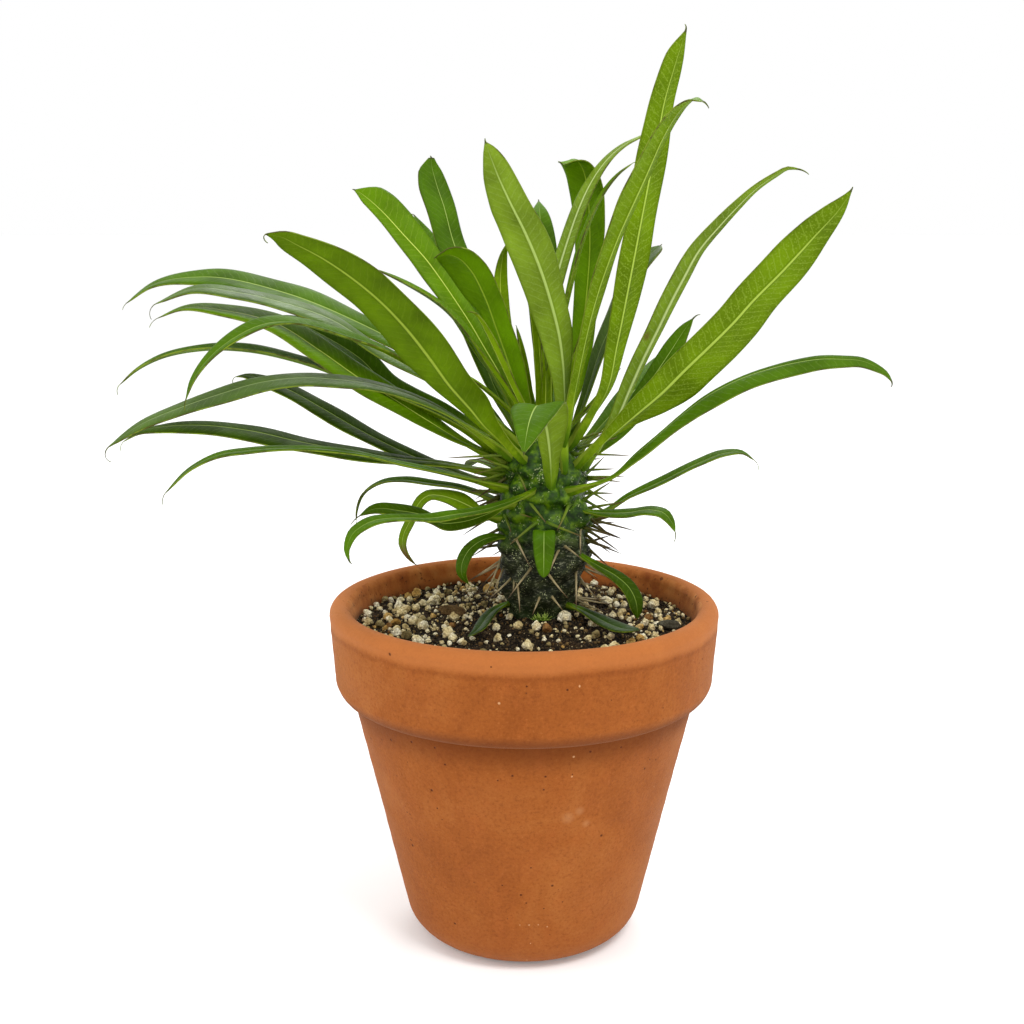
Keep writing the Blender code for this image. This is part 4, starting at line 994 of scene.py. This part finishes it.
def pot_bore_slope():
    """How much the bore's radius grows for each unit of height."""
    rim = RIM_RADIUS - 2.0 * LIP_ROUNDING
    return (rim - INNER_FLOOR_RADIUS) / (POT_HEIGHT - LIP_ROUNDING - FLOOR_THICKNESS)


def pot_bore_radius(height):
    return INNER_FLOOR_RADIUS + pot_bore_slope() * (height - FLOOR_THICKNESS)


def pot_profile():
    """From the middle of the inner floor, up the bore, over the lip and down outside."""
    slope = math.degrees(math.atan((BODY_TOP_RADIUS - BODY_FOOT_RADIUS) / COLLAR_BOTTOM))
    bore = math.degrees(math.atan(pot_bore_slope()))
    corner = (INNER_FLOOR_RADIUS + INNER_ROUNDING * (pot_bore_slope() - math.hypot(1.0, pot_bore_slope())),
              FLOOR_THICKNESS + INNER_ROUNDING)
    lip = (RIM_RADIUS - LIP_ROUNDING, POT_HEIGHT - LIP_ROUNDING)
    collar = (COLLAR_RADIUS - COLLAR_ROUNDING, COLLAR_BOTTOM + COLLAR_ROUNDING)
    collar_end = -math.degrees(math.acos((BODY_TOP_RADIUS - collar[0]) / COLLAR_ROUNDING))
    return [(0.0, FLOOR_THICKNESS),
            *arc(corner, INNER_ROUNDING, -90, -bore, 8),
            *arc(lip, LIP_ROUNDING, 180, 0, 18),
            *arc(collar, COLLAR_ROUNDING, 0, collar_end, 14),
            *arc((FOOT_RADIUS, FOOT_ROUNDING), FOOT_ROUNDING, -slope, -90, 12),
            (0.0, 0.0)]


def finely(profile, spacing):
    """The profile with its long straight runs cut into short ones."""
    points = [profile[0]]
    for start, end in zip(profile, profile[1:]):
        steps = max(1, int(math.ceil(math.dist(start, end) / spacing)))
        points += [(start[0] + (end[0] - start[0]) * i / steps, start[1] + (end[1] - start[1]) * i / steps)
                   for i in range(1, steps + 1)]
    return points


def clay_wear(angle, height, radius):
    """How far the turned clay strays from its true profile."""
    if height <= 1.0 or radius <= 20.0:
        return 0.0
    x, y = polar(radius, angle)
    strays = 0.16 * rough(x, y, height, 30.0) + 0.05 * rough(x, y, height, 5.0)
    if radius > pot_bore_radius(height) + 2.0 and 14.0 < height < 113.0:
        above_groove = height - LIP_GROOVE_HEIGHT - 0.4 * math.sin(2.0 * angle)
        strays -= LIP_GROOVE_DEPTH * math.exp(-(above_groove / 0.9) ** 2)
        strays += LIP_RIDGE_RISE * math.exp(-((height - LIP_RIDGE_HEIGHT) / 1.1) ** 2)
        strays += 0.04 * math.sin(height * 1.9 + 0.5 * math.sin(3.0 * angle))
    return strays


def make_pot(clay):
    inner = finely(pot_profile(), POT_SPACING)[1:-1]
    angles = np.linspace(0.0, math.tau, POT_STEPS, endpoint=False)
    points = [(0.0, 0.0, FLOOR_THICKNESS)]
    for radius, height in inner:
        points += [(*polar(radius + clay_wear(angle, height, radius), angle), height) for angle in angles]
    points.append((0.0, 0.0, 0.0))
    faces = []
    last = 1 + (len(inner) - 1) * POT_STEPS
    for j in range(POT_STEPS):
        k = (j + 1) % POT_STEPS
        faces += [(0, 1 + j, 1 + k), (len(points) - 1, last + k, last + j)]
    for row in range(1, last, POT_STEPS):
        above = row + POT_STEPS
        for j in range(POT_STEPS):
            k = (j + 1) % POT_STEPS
            faces.append((row + j, above + j, above + k, row + k))
    pot = mesh_object("pot", points, faces, [clay])
    hole = bmesh.new()
    bmesh.ops.create_cone(hole, cap_ends=True, segments=48, radius1=DRAIN_RADIUS * MM,
                          radius2=DRAIN_RADIUS * MM, depth=3.0 * FLOOR_THICKNESS * MM)
    cut(pot, from_bmesh("drain_cutter", hole))
    pot.data.shade_smooth()
    pot.data.set_sharp_from_angle(angle=math.radians(50))
    return pot


def cut(thing, cutter):
    """Takes the cutter's volume out of the thing, and removes the cutter."""
    modifier = thing.modifiers.new("cut", "BOOLEAN")
    modifier.operation = "DIFFERENCE"
    modifier.solver = "EXACT"
    modifier.object = cutter
    depsgraph = bpy.context.evaluated_depsgraph_get()
    depsgraph.update()
    cut_mesh = bpy.data.meshes.new_from_object(thing.evaluated_get(depsgraph))
    thing.modifiers.clear()
    old = thing.data
    thing.data = cut_mesh
    bpy.data.meshes.remove(old)
    bpy.data.objects.remove(cutter, do_unlink=True)


# ---------------------------------------------------------------- potting mix and what lies on it

def mix_height(x, y):
    """Height of the potting mix's surface."""
    reach = math.hypot(x - STEM_FOOT[0], y - STEM_FOOT[1])
    mound = MIX_MOUND * math.exp(-(reach / MIX_MOUND_REACH) ** 2)
    lumps = noise.noise(Vector((x, y, 0.0)) * 0.13) + 0.5 * noise.noise(Vector((y, x, 7.0)) * 0.3)
    return MIX_EDGE_HEIGHT + mound + MIX_LUMP * lumps


def make_mix(earth):
    wall = pot_bore_radius(MIX_EDGE_HEIGHT) + 0.15
    angles = np.linspace(0.0, math.tau, MIX_STEPS, endpoint=False)
    points = []
    for i in range(1, MIX_RINGS + 1):
        radius = wall * i / MIX_RINGS
        for angle in angles:
            x, y = polar(radius, angle)
            level = smooth_step((wall - radius) / 6.0)
            grit = 0.7 * rough(x, y, 3.0, 2.2) + 0.35 * rough(y, x, 9.0, 0.9)
            points.append((x, y, MIX_EDGE_HEIGHT + (mix_height(x, y) - MIX_EDGE_HEIGHT) * level + grit))
    for height, inset, level in ((60.0, 0.3, 60.0), (14.0, 0.3, 14.0), (14.0, 3.0, FLOOR_THICKNESS + 0.4)):
        points += [(*polar(pot_bore_radius(height) - inset, angle), level) for angle in angles]
    return mesh_object("mix", points, ring_faces(MIX_RINGS + 3, MIX_STEPS), [earth])


def lump_points(base, radius, squash, seed, knobbly):
    """A knobbly lump: a ball pushed in and out, turned at random."""
    spin = Matrix.Rotation(seed * 2.3, 3, "X") @ Matrix.Rotation(seed * 1.7, 3, "Z")
    points = []
    for x, y, z in base:
        push = 1.0 + knobbly * noise.noise(Vector((x + seed, y, z)) * 1.15)
        push += 0.6 * knobbly * noise.noise(Vector((x, y + seed, z)) * 2.9)
        place = spin @ Vector((x * push, y * push * squash, z * push * (0.5 + 0.5 * squash)))
        points.append(place * radius)
    return chipped(np.array(points), radius, random.Random(round(seed * 1000)))


def chipped(points, radius, draw):
    """Flattens a lump against a few planes, so that it has facets and blunt edges."""
    for _ in range(6):
        normal = unit(np.array([draw.uniform(-1.0, 1.0) for _ in range(3)]))
        beyond = np.maximum(points @ normal - radius * draw.uniform(0.5, 0.85), 0.0)
        points = points - np.outer(beyond, normal)
    return points


class Topping:
    """What lies on the mix; it keeps the places that are taken."""

    def __init__(self):
        self.draw = random.Random(5)
        self.taken = []

    def drop(self, heap, bases, x, y, radius, stick_out, knobbly, kind):
        base, faces = bases[1] if radius > 1.5 else bases[0]
        squash, seed = self.draw.uniform(0.7, 1.0), self.draw.uniform(0.0, 40.0)
        points = lump_points(base, radius, squash, seed, knobbly)
        heap.add(points + np.array((x, y, mix_height(x, y) + radius * stick_out)), faces, kind)

    def lay_lumps(self, heap, bases):
        """The larger lumps, each made of a ball or two."""
        for x, y, radius, *kind in LUMPS:
            kind = kind[0] if kind else CREAM
            radius *= LUMP_GROWTH
            room = pot_bore_radius(MIX_EDGE_HEIGHT) - radius * 0.8
            if math.hypot(x, y) > room:
                shrink = room / math.hypot(x, y)
                x, y = x * shrink, y * shrink
            self.taken.append((x, y, radius * 0.9))
            self.drop(heap, bases, x, y, radius, 0.55, 0.34, kind)
            if kind != PEBBLE and radius > 1.4:
                side_x, side_y = polar(radius * 0.55, self.draw.uniform(0.0, math.tau))
                self.drop(heap, bases, x + side_x, y + side_y, radius * 0.62, 0.7, 0.34, kind)

    def scatter(self, heap, bases, count, smallest, largest, stick_out, chance=None, kinds=(0,)):
        """Drops lumps on the mix where there is room for them."""
        wall = pot_bore_radius(MIX_EDGE_HEIGHT)
        placed = tries = 0
        while placed < count and tries < count * 30:
            tries += 1
            angle = self.draw.uniform(0.0, math.tau)
            reach = (wall - 0.4) * math.sqrt(self.draw.random())
            radius = smallest + (largest - smallest) * self.draw.random() ** 2.2
            x, y = polar(reach, angle)
            keep = self.draw.random()
            if reach > wall - radius * 0.9 or math.dist((x, y), STEM_FOOT) < STEM_CLEARANCE + radius * 0.8:
                continue
            if chance and keep > chance(x, y):
                continue
            if any(math.dist((x, y), (a, b)) < 0.8 * (radius + c) for a, b, c in self.taken):
                continue
            self.taken.append((x, y, radius))
            kind = self.draw.choice(kinds)
            self.drop(heap, bases, x, y, radius, stick_out, 0.42, kind)
            placed += 1


def make_chip(bark):
    """A chip of bark lying on the mix, left of the stem."""
    base, faces = ball(4)
    turn, tilt, roll = (Matrix.Rotation(math.radians(angle), 3, axis) for axis, angle in CHIP_TURNS)
    turn = turn @ (tilt @ roll)
    points = []
    for x, y, z in base:
        grain = 0.1 * noise.noise(Vector((x * 2.0, y * 9.0, z * 3.0)))
        edge = 1.0 + 0.2 * noise.noise(Vector((x * 2.4, y * 2.4, 5.0)))
        point = Vector((x * CHIP_SIZE[0] * edge, y * CHIP_SIZE[1] * edge, z * CHIP_SIZE[2] + grain * 3.0))
        points.append(tuple(turn @ point + Vector(CHIP_PLACE)))
    return mesh_object("bark_chip", points, faces, [bark])


def make_stone(grey):
    """A dark stone half sunk in the mix at the right."""
    base, faces = ball(4)
    points = []
    for point in base:
        push = 1.0 + 0.18 * noise.noise(Vector(point) * 1.4)
        points.append([c + size * v * push for c, size, v in zip(STONE_PLACE, STONE_SIZE, point)])
    return mesh_object("dark_stone", points, faces, [grey])


def make_tuft(green):
    """A small bristly offset at the foot of the stem."""
    draw = random.Random(23)
    heap = Heap()
    for _ in range(TUFT_BRISTLES):
        aim, pitch = draw.uniform(0.0, math.tau), math.radians(draw.uniform(12.0, 85.0))
        direction = bearing(aim, pitch)
        length = draw.uniform(*TUFT_LENGTHS)
        root = np.array(TUFT_PLACE) + np.array((draw.uniform(-1.6, 1.6), draw.uniform(-0.8, 0.8), 0.0))
        heap.add_tube([root + direction * length * s for s in TUFT_SHARES], TUFT_RADII, 5, TUFT_SHARES)
    return heap.made("offset_tuft", [green], "spine")


# ---------------------------------------------------------------- stem

def stem_axis(height):
    """The stem's centre at a height."""
    low, high = STEM_LEAN_HEIGHTS
    share = smooth_step((height - low) / (high - low))
    return (STEM_FOOT[0] + (STEM_HEAD[0] - STEM_FOOT[0]) * share,
            STEM_FOOT[1] + (STEM_HEAD[1] - STEM_FOOT[1]) * share)


def knobs():
    """Angle in degrees, height and size of each knob: a spiral up the stem, and one under each leaf."""
    spiral = []
    for i in range(KNOB_COUNT):
        share = i / (KNOB_COUNT - 1)
        spiral.append((KNOB_TURN * i % 360.0, KNOB_BOTTOM + (KNOB_TOP - KNOB_BOTTOM) * share,
                       0.8 + 0.5 * share))
    low, high = LEAF_KNOB_HEIGHTS
    return spiral + [(leaf.heading % 360.0, leaf.path[0][1] - 2.5, LEAF_KNOB_SIZE) for leaf in LEAVES
                     if low < leaf.path[0][1] < high]


KNOBS = knobs()


def knob_rise(angle, height, radius):
    """How far the knobs push the stem's surface outwards: each is a swelling with a small eye."""
    rise = eye = 0.0
    for knob_angle, knob_height, size in KNOBS:
        if abs(height - knob_height) > 3.0 * KNOB_SPREAD:
            continue
        along = math.radians((angle - knob_angle + 180.0) % 360.0 - 180.0) * radius
        distance = ((along / 1.15) ** 2 + (height - knob_height) ** 2) / KNOB_SPREAD ** 2
        if distance < 6.0:
            rise = max(rise, KNOB_HEIGHT * size * math.exp(-distance ** 1.4) * 1.25)
            eye = max(eye, math.exp(-14.0 * distance))
    return rise + KNOB_EYE * eye


def stem_surface(angle, height):
    """Point on the stem at an angle in degrees and a height."""
    plain = float(np.interp(height, [p[1] for p in STEM_PROFILE], [p[0] for p in STEM_PROFILE]))
    radius = plain
    if plain > 1.0:
        x, y = polar(plain, math.radians(angle))
        old = 1.0 - smooth_step((height - OLD_SKIN_HEIGHT) / OLD_SKIN_FADE)
        radius += knob_rise(angle, height, plain)
        radius += 0.3 * rough(x, y, height, 4.0) + 0.12 * rough(x, y, height, 1.3)
        radius += old * 0.25 * rough(x, y, height * 2.2, 2.4)
    centre = stem_axis(height)
    x, y = polar(radius, math.radians(angle))
    return centre[0] + x, centre[1] + y, height


def make_stem(skin):
    points = [stem_surface(360.0 * j / STEM_STEPS, float(height))
              for _, height in smooth_path(STEM_PROFILE, STEM_RINGS) for j in range(STEM_STEPS)]
    return mesh_object("stem_body", points, ring_faces(STEM_RINGS, STEM_STEPS), [skin])


def add_spine(heaps, angle, height, aim, pitch, length, kind, draw):
    """A slender cone, a little swollen at its root, slightly bent and rooted in the stem."""
    surface = np.array(stem_surface(angle, height))
    root = surface + SPINE_ROOT * unit(np.array((*stem_axis(height), height)) - surface)
    direction = bearing(math.radians(aim), math.radians(pitch))
    length += SPINE_ROOT
    bend = unit(np.cross(direction, (draw.uniform(-1, 1), draw.uniform(-1, 1), draw.uniform(-1, 1))))
    shares = np.linspace(0.0, 1.0, SPINE_STATIONS)
    line = [root + direction * length * s + bend * length * SPINE_BEND * s * s for s in shares]
    radii = [SPINE_RADII[kind] * (1.0 - s) ** 0.75 * (1.0 + 0.7 * math.exp(-(s / 0.08) ** 2)) + 0.05
             for s in shares]
    heaps[kind].add_tube(line, radii, SPINE_SIDES, shares)


def make_spines(looks):
    """The spines that can be told apart, then twos and threes on the knobs that face away."""
    draw = random.Random(11)
    heaps = [Heap(), Heap(), Heap()]
    for spine in SPINES:
        add_spine(heaps, *spine, draw)
    for i, (angle, height, _) in enumerate(KNOBS):
        share = (height - KNOB_BOTTOM) / (KNOB_TOP - KNOB_BOTTOM)
        facing = (angle - 270.0 + 180.0) % 360.0 - 180.0
        if abs(facing) < FRONT_ANGLE and height > FRONT_BOTTOM:
            continue
        kind = TAN if height < TAN_TOP else BROWN if height < BROWN_TOP else GREEN
        for side in (-0.5, 0.5) if i % 3 else (-0.5, 0.0, 0.5):
            pitch = KNOB_SPINE_PITCH + KNOB_SPINE_PITCH_RISE * share + draw.uniform(-14.0, 14.0)
            aim = angle + 60.0 * side + draw.uniform(-12.0, 12.0)
            length = draw.uniform(*KNOB_SPINE_LENGTHS)
            if height + length * math.sin(math.radians(pitch)) < LOWEST_SPINE_TIP:
                pitch = max(pitch, LOWEST_PITCH)
            add_spine(heaps, angle + 9.0 * side, height, aim, pitch, length, kind, draw)
    names = ("spines_green", "spines_brown", "spines_tan")
    return [heap.made(name, [look], "spine") for heap, name, look in zip(heaps, names, looks)]


# ---------------------------------------------------------------- leaves

def own(leaf, table, usual, small):
    """The leaf's value in a table, or the usual one, or the one of small leaves."""
    return table.get(leaf.name, small if leaf.name.split("_")[0] in SMALL_GROUPS else usual)


def leaf_frames(leaf, count):
    """Midrib points, the blade's sideways and upward directions, and the shares of its length."""
    shares = np.linspace(0.0, 1.0, count)
    path = smooth_path(leaf.path, count)
    if leaf.name in TURNS:
        heading = np.radians(steady_line(*TURNS[leaf.name], shares))
    else:
        heading = np.radians(leaf.heading + leaf.swing * (1.0 - (1.0 - shares) ** 2))
    centres = np.stack([STEM_HEAD[0] + path[:, 0] * np.cos(heading),
                        STEM_HEAD[1] + path[:, 0] * np.sin(heading), path[:, 1]], axis=1)
    along = row_units(np.gradient(centres, axis=0))
    sideways = np.stack([-np.sin(heading), np.cos(heading), np.zeros(count)], axis=1)
    sideways = row_units(sideways - along * (sideways * along).sum(axis=1)[:, None])
    upward = np.cross(along, sideways)
    roll = np.radians(leaf.roll * smooth_step(shares / 0.3) + leaf.twist * shares)[:, None]
    return (centres, sideways * np.cos(roll) + upward * np.sin(roll),
            upward * np.cos(roll) - sideways * np.sin(roll), shares)


def leaf_halves(leaf, shares):
    """Half widths on the blade's right and left hand along its length."""
    if leaf.name in BLADES:
        at, *hands = BLADES[leaf.name]
        grown = np.stack([steady_line(at, hand, shares) for hand in (hands[0], hands[-1])], axis=1)
        return np.maximum(grown, leaf.width / 2.0 * TIP_SHARE)
    narrowing = own(leaf, NARROWINGS, USUAL_NARROWING, SMALL_NARROWING)
    rising = np.sin(np.clip((shares - 0.04) / (WIDEST - 0.04), 0.0, 1.0) * math.pi / 2) ** 1.6
    falling = 1.0 - np.clip((shares - narrowing) / (1.0 - narrowing), 0.0, 1.0) ** 2.2
    falling = np.clip(falling, 0.0, 1.0) ** 0.9
    width = np.where(shares < WIDEST, leaf.neck + (1.0 - leaf.neck) * rising, falling)
    half = leaf.width / 2.0 * np.maximum(width, TIP_SHARE)
    return np.stack([half, half], axis=1)


def curled(point, along, up, degrees, steps):
    """Points and upward directions of a line that goes on in steps and curls towards its underside."""
    turn = math.radians(degrees) / len(steps)
    points, ups = [], []
    for step in steps:
        along, up = (along * math.cos(turn) - up * math.sin(turn),
                     up * math.cos(turn) + along * math.sin(turn))
        point = point + along * step
        points.append(point)
        ups.append(up)
    return points, ups


def grown_frames(leaf, draw):
    """The leaf's frames, begun inside the stem and ended in a fine hooked thread."""
    length = np.linalg.norm(np.diff(np.array(leaf.path, dtype=float), axis=0), axis=1).sum()
    centres, sides, ups, shares = leaf_frames(leaf, max(24, int(length / STATION)))
    halves = leaf_halves(leaf, shares)
    halves = halves * (1.0 + 0.025 * np.sin(shares * length / 6.5 + draw.uniform(0.0, 6.0)))[:, None]
    taper = smooth_step(shares * length / min(FOOT_LENGTH, FOOT_LENGTH_SHARE * length))
    halves = halves * (FOOT_SHARE + (1.0 - FOOT_SHARE) * taper)[:, None]
    low = centres[0][2] - 3.0
    inward = unit(unit(centres[0] - centres[1]) * 0.45 + unit(np.array((*stem_axis(low), low)) - centres[0]))
    root = [centres[0] + inward * ROOT_REACH * (ROOT_STEPS - i) / ROOT_STEPS for i in range(ROOT_STEPS)]
    if leaf.name in NODS:
        first = int(np.searchsorted(shares, NOD_START))
        steps = np.linalg.norm(np.diff(centres[first - 1:], axis=0), axis=1)
        centres[first:], ups[first:] = curled(centres[first - 1], unit(centres[first] - centres[first - 1]),
                                              ups[first], NODS[leaf.name], steps)
    hook, thread_length = own(leaf, THREADS, USUAL_THREAD, SMALL_THREAD)
    hook += draw.uniform(-20.0, 20.0)
    thread, thread_ups = curled(centres[-1], unit(centres[-1] - centres[-2]), ups[-1], hook,
                                [thread_length / THREAD_STEPS] * THREAD_STEPS)
    thin = np.linspace(min(halves[-1].min(), 0.3), 0.08, THREAD_STEPS)

    def lengthened(rows, end):
        return np.concatenate([np.repeat(rows[:1], ROOT_STEPS, 0), rows, end])

    return (np.concatenate([root, centres, thread]),
            lengthened(sides, np.repeat(sides[-1:], THREAD_STEPS, 0)), lengthened(ups, thread_ups),
            lengthened(halves, np.stack([thin, thin], axis=1)),
            np.concatenate([np.zeros(ROOT_STEPS), shares, np.ones(THREAD_STEPS)]))


def blade_section(leaf, spread, pair, share, way, wave_size, wave_shift):
    """Reach sideways and the upper and lower levels across the blade at one station."""
    fold = math.radians(leaf.fold)
    half = np.where(spread < 0.0, pair[0], pair[1])
    mean_half = float(pair.mean())
    petiole = 1.0 - smooth_step(share / PETIOLE_SHARE)
    edge = np.abs(spread)
    lift = half * math.sin(fold) * (np.sqrt(spread ** 2 + 0.03) - 0.17)
    lift += half * ARCH * edge * (1.0 - edge) * (1.0 - petiole)
    lift += half * wave_size * np.sin(way / WAVE_LENGTH + wave_shift + 1.5 * np.sign(spread)) * edge ** 1.5
    lift -= half * EDGE_DROP * smooth_step((edge - EDGE_DROP_START) / (1.0 - EDGE_DROP_START))
    reach = spread * half * math.cos(fold)
    groove = np.exp(-(reach / max(0.35, 0.9 - 0.5 * share)) ** 2)
    upper = lift + HALF_THICKNESS + PETIOLE_CROWN * petiole * (1.0 - spread ** 2)
    upper = upper - GROOVE_DEPTH * (1.0 - share) * groove * (1.0 - petiole)
    rib = (min(1.15, 0.75 * mean_half) + PETIOLE_CROWN * petiole) * (1.0 - 0.7 * share) + 0.12
    rib_depth = (RIB_DEPTH * (1.0 - share) ** 0.8 + PETIOLE_KEEL * petiole) * min(1.0, mean_half / 1.2)
    lower = lift - HALF_THICKNESS - rib_depth * np.exp(-(reach / rib) ** 2)
    thin = TIP_THINNESS + (1.0 - TIP_THINNESS) * smooth_step((1.0 - share) / TIP_THINNING_SHARE)
    middle = 0.5 * (upper + lower)
    return reach, middle + (upper - middle) * thin, middle + (lower - middle) * thin


def make_leaf(leaf, materials):
    """A thin closed blade: grooved above, ribbed below, each half gently arched."""
    draw = random.Random("leaf_" + leaf.name)
    centres, sides, ups, halves, shares = grown_frames(leaf, draw)
    spread = np.linspace(-1.0, 1.0, ACROSS)
    spread = np.sign(spread) * np.abs(spread) ** 1.35
    wave_shift = draw.uniform(0.0, 6.0)
    wave_size = draw.uniform(0.02, 0.05)
    walked = np.concatenate([[0.0], np.cumsum(np.linalg.norm(np.diff(centres, axis=0), axis=1))])
    points, blade_map, size_map = [], [], []
    for centre, side, up, pair, share, way in zip(centres, sides, ups, halves, shares, walked):
        reach, upper, lower = blade_section(leaf, spread, pair, share, way, wave_size, wave_shift)
        for level, order in ((upper, range(ACROSS)), (lower, reversed(range(ACROSS)))):
            for j in order:
                points.append(centre + side * reach[j] + up * level[j])
                blade_map.append((0.5 + 0.5 * spread[j], share))
                size_map.append((0.5 + reach[j] / MAP_REACH, way / MAP_REACH))
    slots = ([0] * (ACROSS - 1) + [2] + [1] * (ACROSS - 1) + [2]) * (len(centres) - 1) + [1, 1]
    blade = mesh_object("blade_" + leaf.name, points, ring_faces(len(centres), 2 * ACROSS), materials,
                        slots, {"leaf": blade_map, "size": size_map})
    faces_outward(blade)
    return blade


def leaf_palettes():
    """Upper side, underside and margin for each kind of leaf."""
    edge = margin_look()
    looks = {name: leaf_look(name, *colours) for name, colours in LEAF_COLOURS.items()}
    return {kind: [looks[upper], looks[lower], edge] for kind, (upper, lower) in LEAF_KINDS.items()}


# ---------------------------------------------------------------- studio

def make_camera():
    data = bpy.data.cameras.new("camera")
    data.lens = CAMERA_LENS
    data.sensor_width = SENSOR_WIDTH
    camera = added("camera", data)
    camera.location = CAMERA_PLACE
    camera.rotation_euler = (math.radians(CAMERA_PITCH), 0.0, 0.0)
    bpy.context.scene.camera = camera


def make_studio():
    mesh = bmesh.new()
    bmesh.ops.create_circle(mesh, cap_ends=True, segments=64, radius=FLOOR_REACH)
    floor = from_bmesh("studio_floor", mesh)
    floor.data.materials.append(floor_look())

    world = bpy.data.worlds.new("studio")
    world.use_nodes = True
    background = world.node_tree.nodes["Background"]
    background.inputs["Color"].default_value = (1.0, 1.0, 1.0, 1.0)
    background.inputs["Strength"].default_value = WORLD_STRENGTH
    bpy.context.scene.world = world

    for name, place, size, power in LIGHTS:
        lamp = bpy.data.lights.new(name, "AREA")
        lamp.shape = "DISK"
        lamp.size = size
        lamp.energy = power
        thing = added(name, lamp)
        thing.location = place
        aim = Vector(LIGHT_AIM) - Vector(place)
        thing.rotation_euler = aim.to_track_quat("-Z", "Y").to_euler()
    bpy.context.scene.view_settings.view_transform = "Standard"


# ---------------------------------------------------------------- the whole scene


def lump_chance(x, y):
    """Pumice lies thickly along the pot's wall and thinly in front of the stem."""
    if THIN_X[0] < x < THIN_X[1] and THIN_Y[0] < y < THIN_Y[1]:
        return THIN_CHANCE
    return 0.8 + 0.6 * rough(x, y, 0.0, 14.0)


def fit(piece, node=None):
    """Puts a piece on the body, and in place of a node if one is named."""
    if node:
        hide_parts(node)
    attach(piece, BODY)


def lay_topping():
    topping = Topping()
    pumice, crumbs, bark = Heap(), Heap(), Heap()
    large, small = (ball(2), ball(3)), (ball(1), ball(2))
    topping.lay_lumps(pumice, large)
    topping.scatter(pumice, large, *GRAVEL, lump_chance, LOOSE_KINDS)
    topping.scatter(pumice, large, *GRIT, lump_chance, LOOSE_KINDS)
    topping.scatter(crumbs, small, *EARTH_CRUMBS)
    topping.scatter(bark, small, *BARK_CRUMBS)
    fit(pumice.made("pumice_lumps", pumice_looks()))
    earth = crumb_look("earth_crumbs", (12, 9, 6), (34, 26, 17), (92, 76, 54))
    fit(crumbs.made("earth_crumbs", [earth]))
    bits = crumb_look("bark_crumbs", (40, 27, 14), (80, 60, 34), (128, 104, 66))
    fit(bark.made("bark_crumbs", [bits]))
    fit(make_chip(crumb_look("bark_chip", (52, 36, 18), (92, 70, 42), (124, 100, 66))))
    fit(make_stone(crumb_look("dark_stone", (26, 24, 18), (58, 54, 42), (92, 88, 74))))


def main():
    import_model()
    make_camera()
    make_studio()
    fit(make_pot(clay_look()), "clay_pot")
    fit(make_mix(earth_look()), "potting_mix")
    lay_topping()
    fit(make_stem(skin_look()), "stem")
    for spines in make_spines((spine_look("spine_green", (74, 104, 8), (104, 120, 30), (92, 74, 40)),
                               spine_look("spine_brown", (80, 86, 28), (92, 78, 44), (56, 40, 24)),
                               spine_look("spine_tan", (128, 116, 76), (166, 150, 112), (84, 64, 40)))):
        fit(spines)
    fit(make_tuft(spine_look("tuft_green", (40, 66, 4), (92, 124, 18), (160, 180, 84))))

    palettes = leaf_palettes()
    kind_of = {name: kind for kind, names in LEAVES_BY_KIND.items() for name in names.split()}
    for leaf in LEAVES:
        fit(make_leaf(leaf, palettes[kind_of.get(leaf.name, USUAL_KIND)]), "leaf_" + leaf.name)
    for bud in BUDS:
        fit(make_leaf(bud, palettes["bright"]))


main()
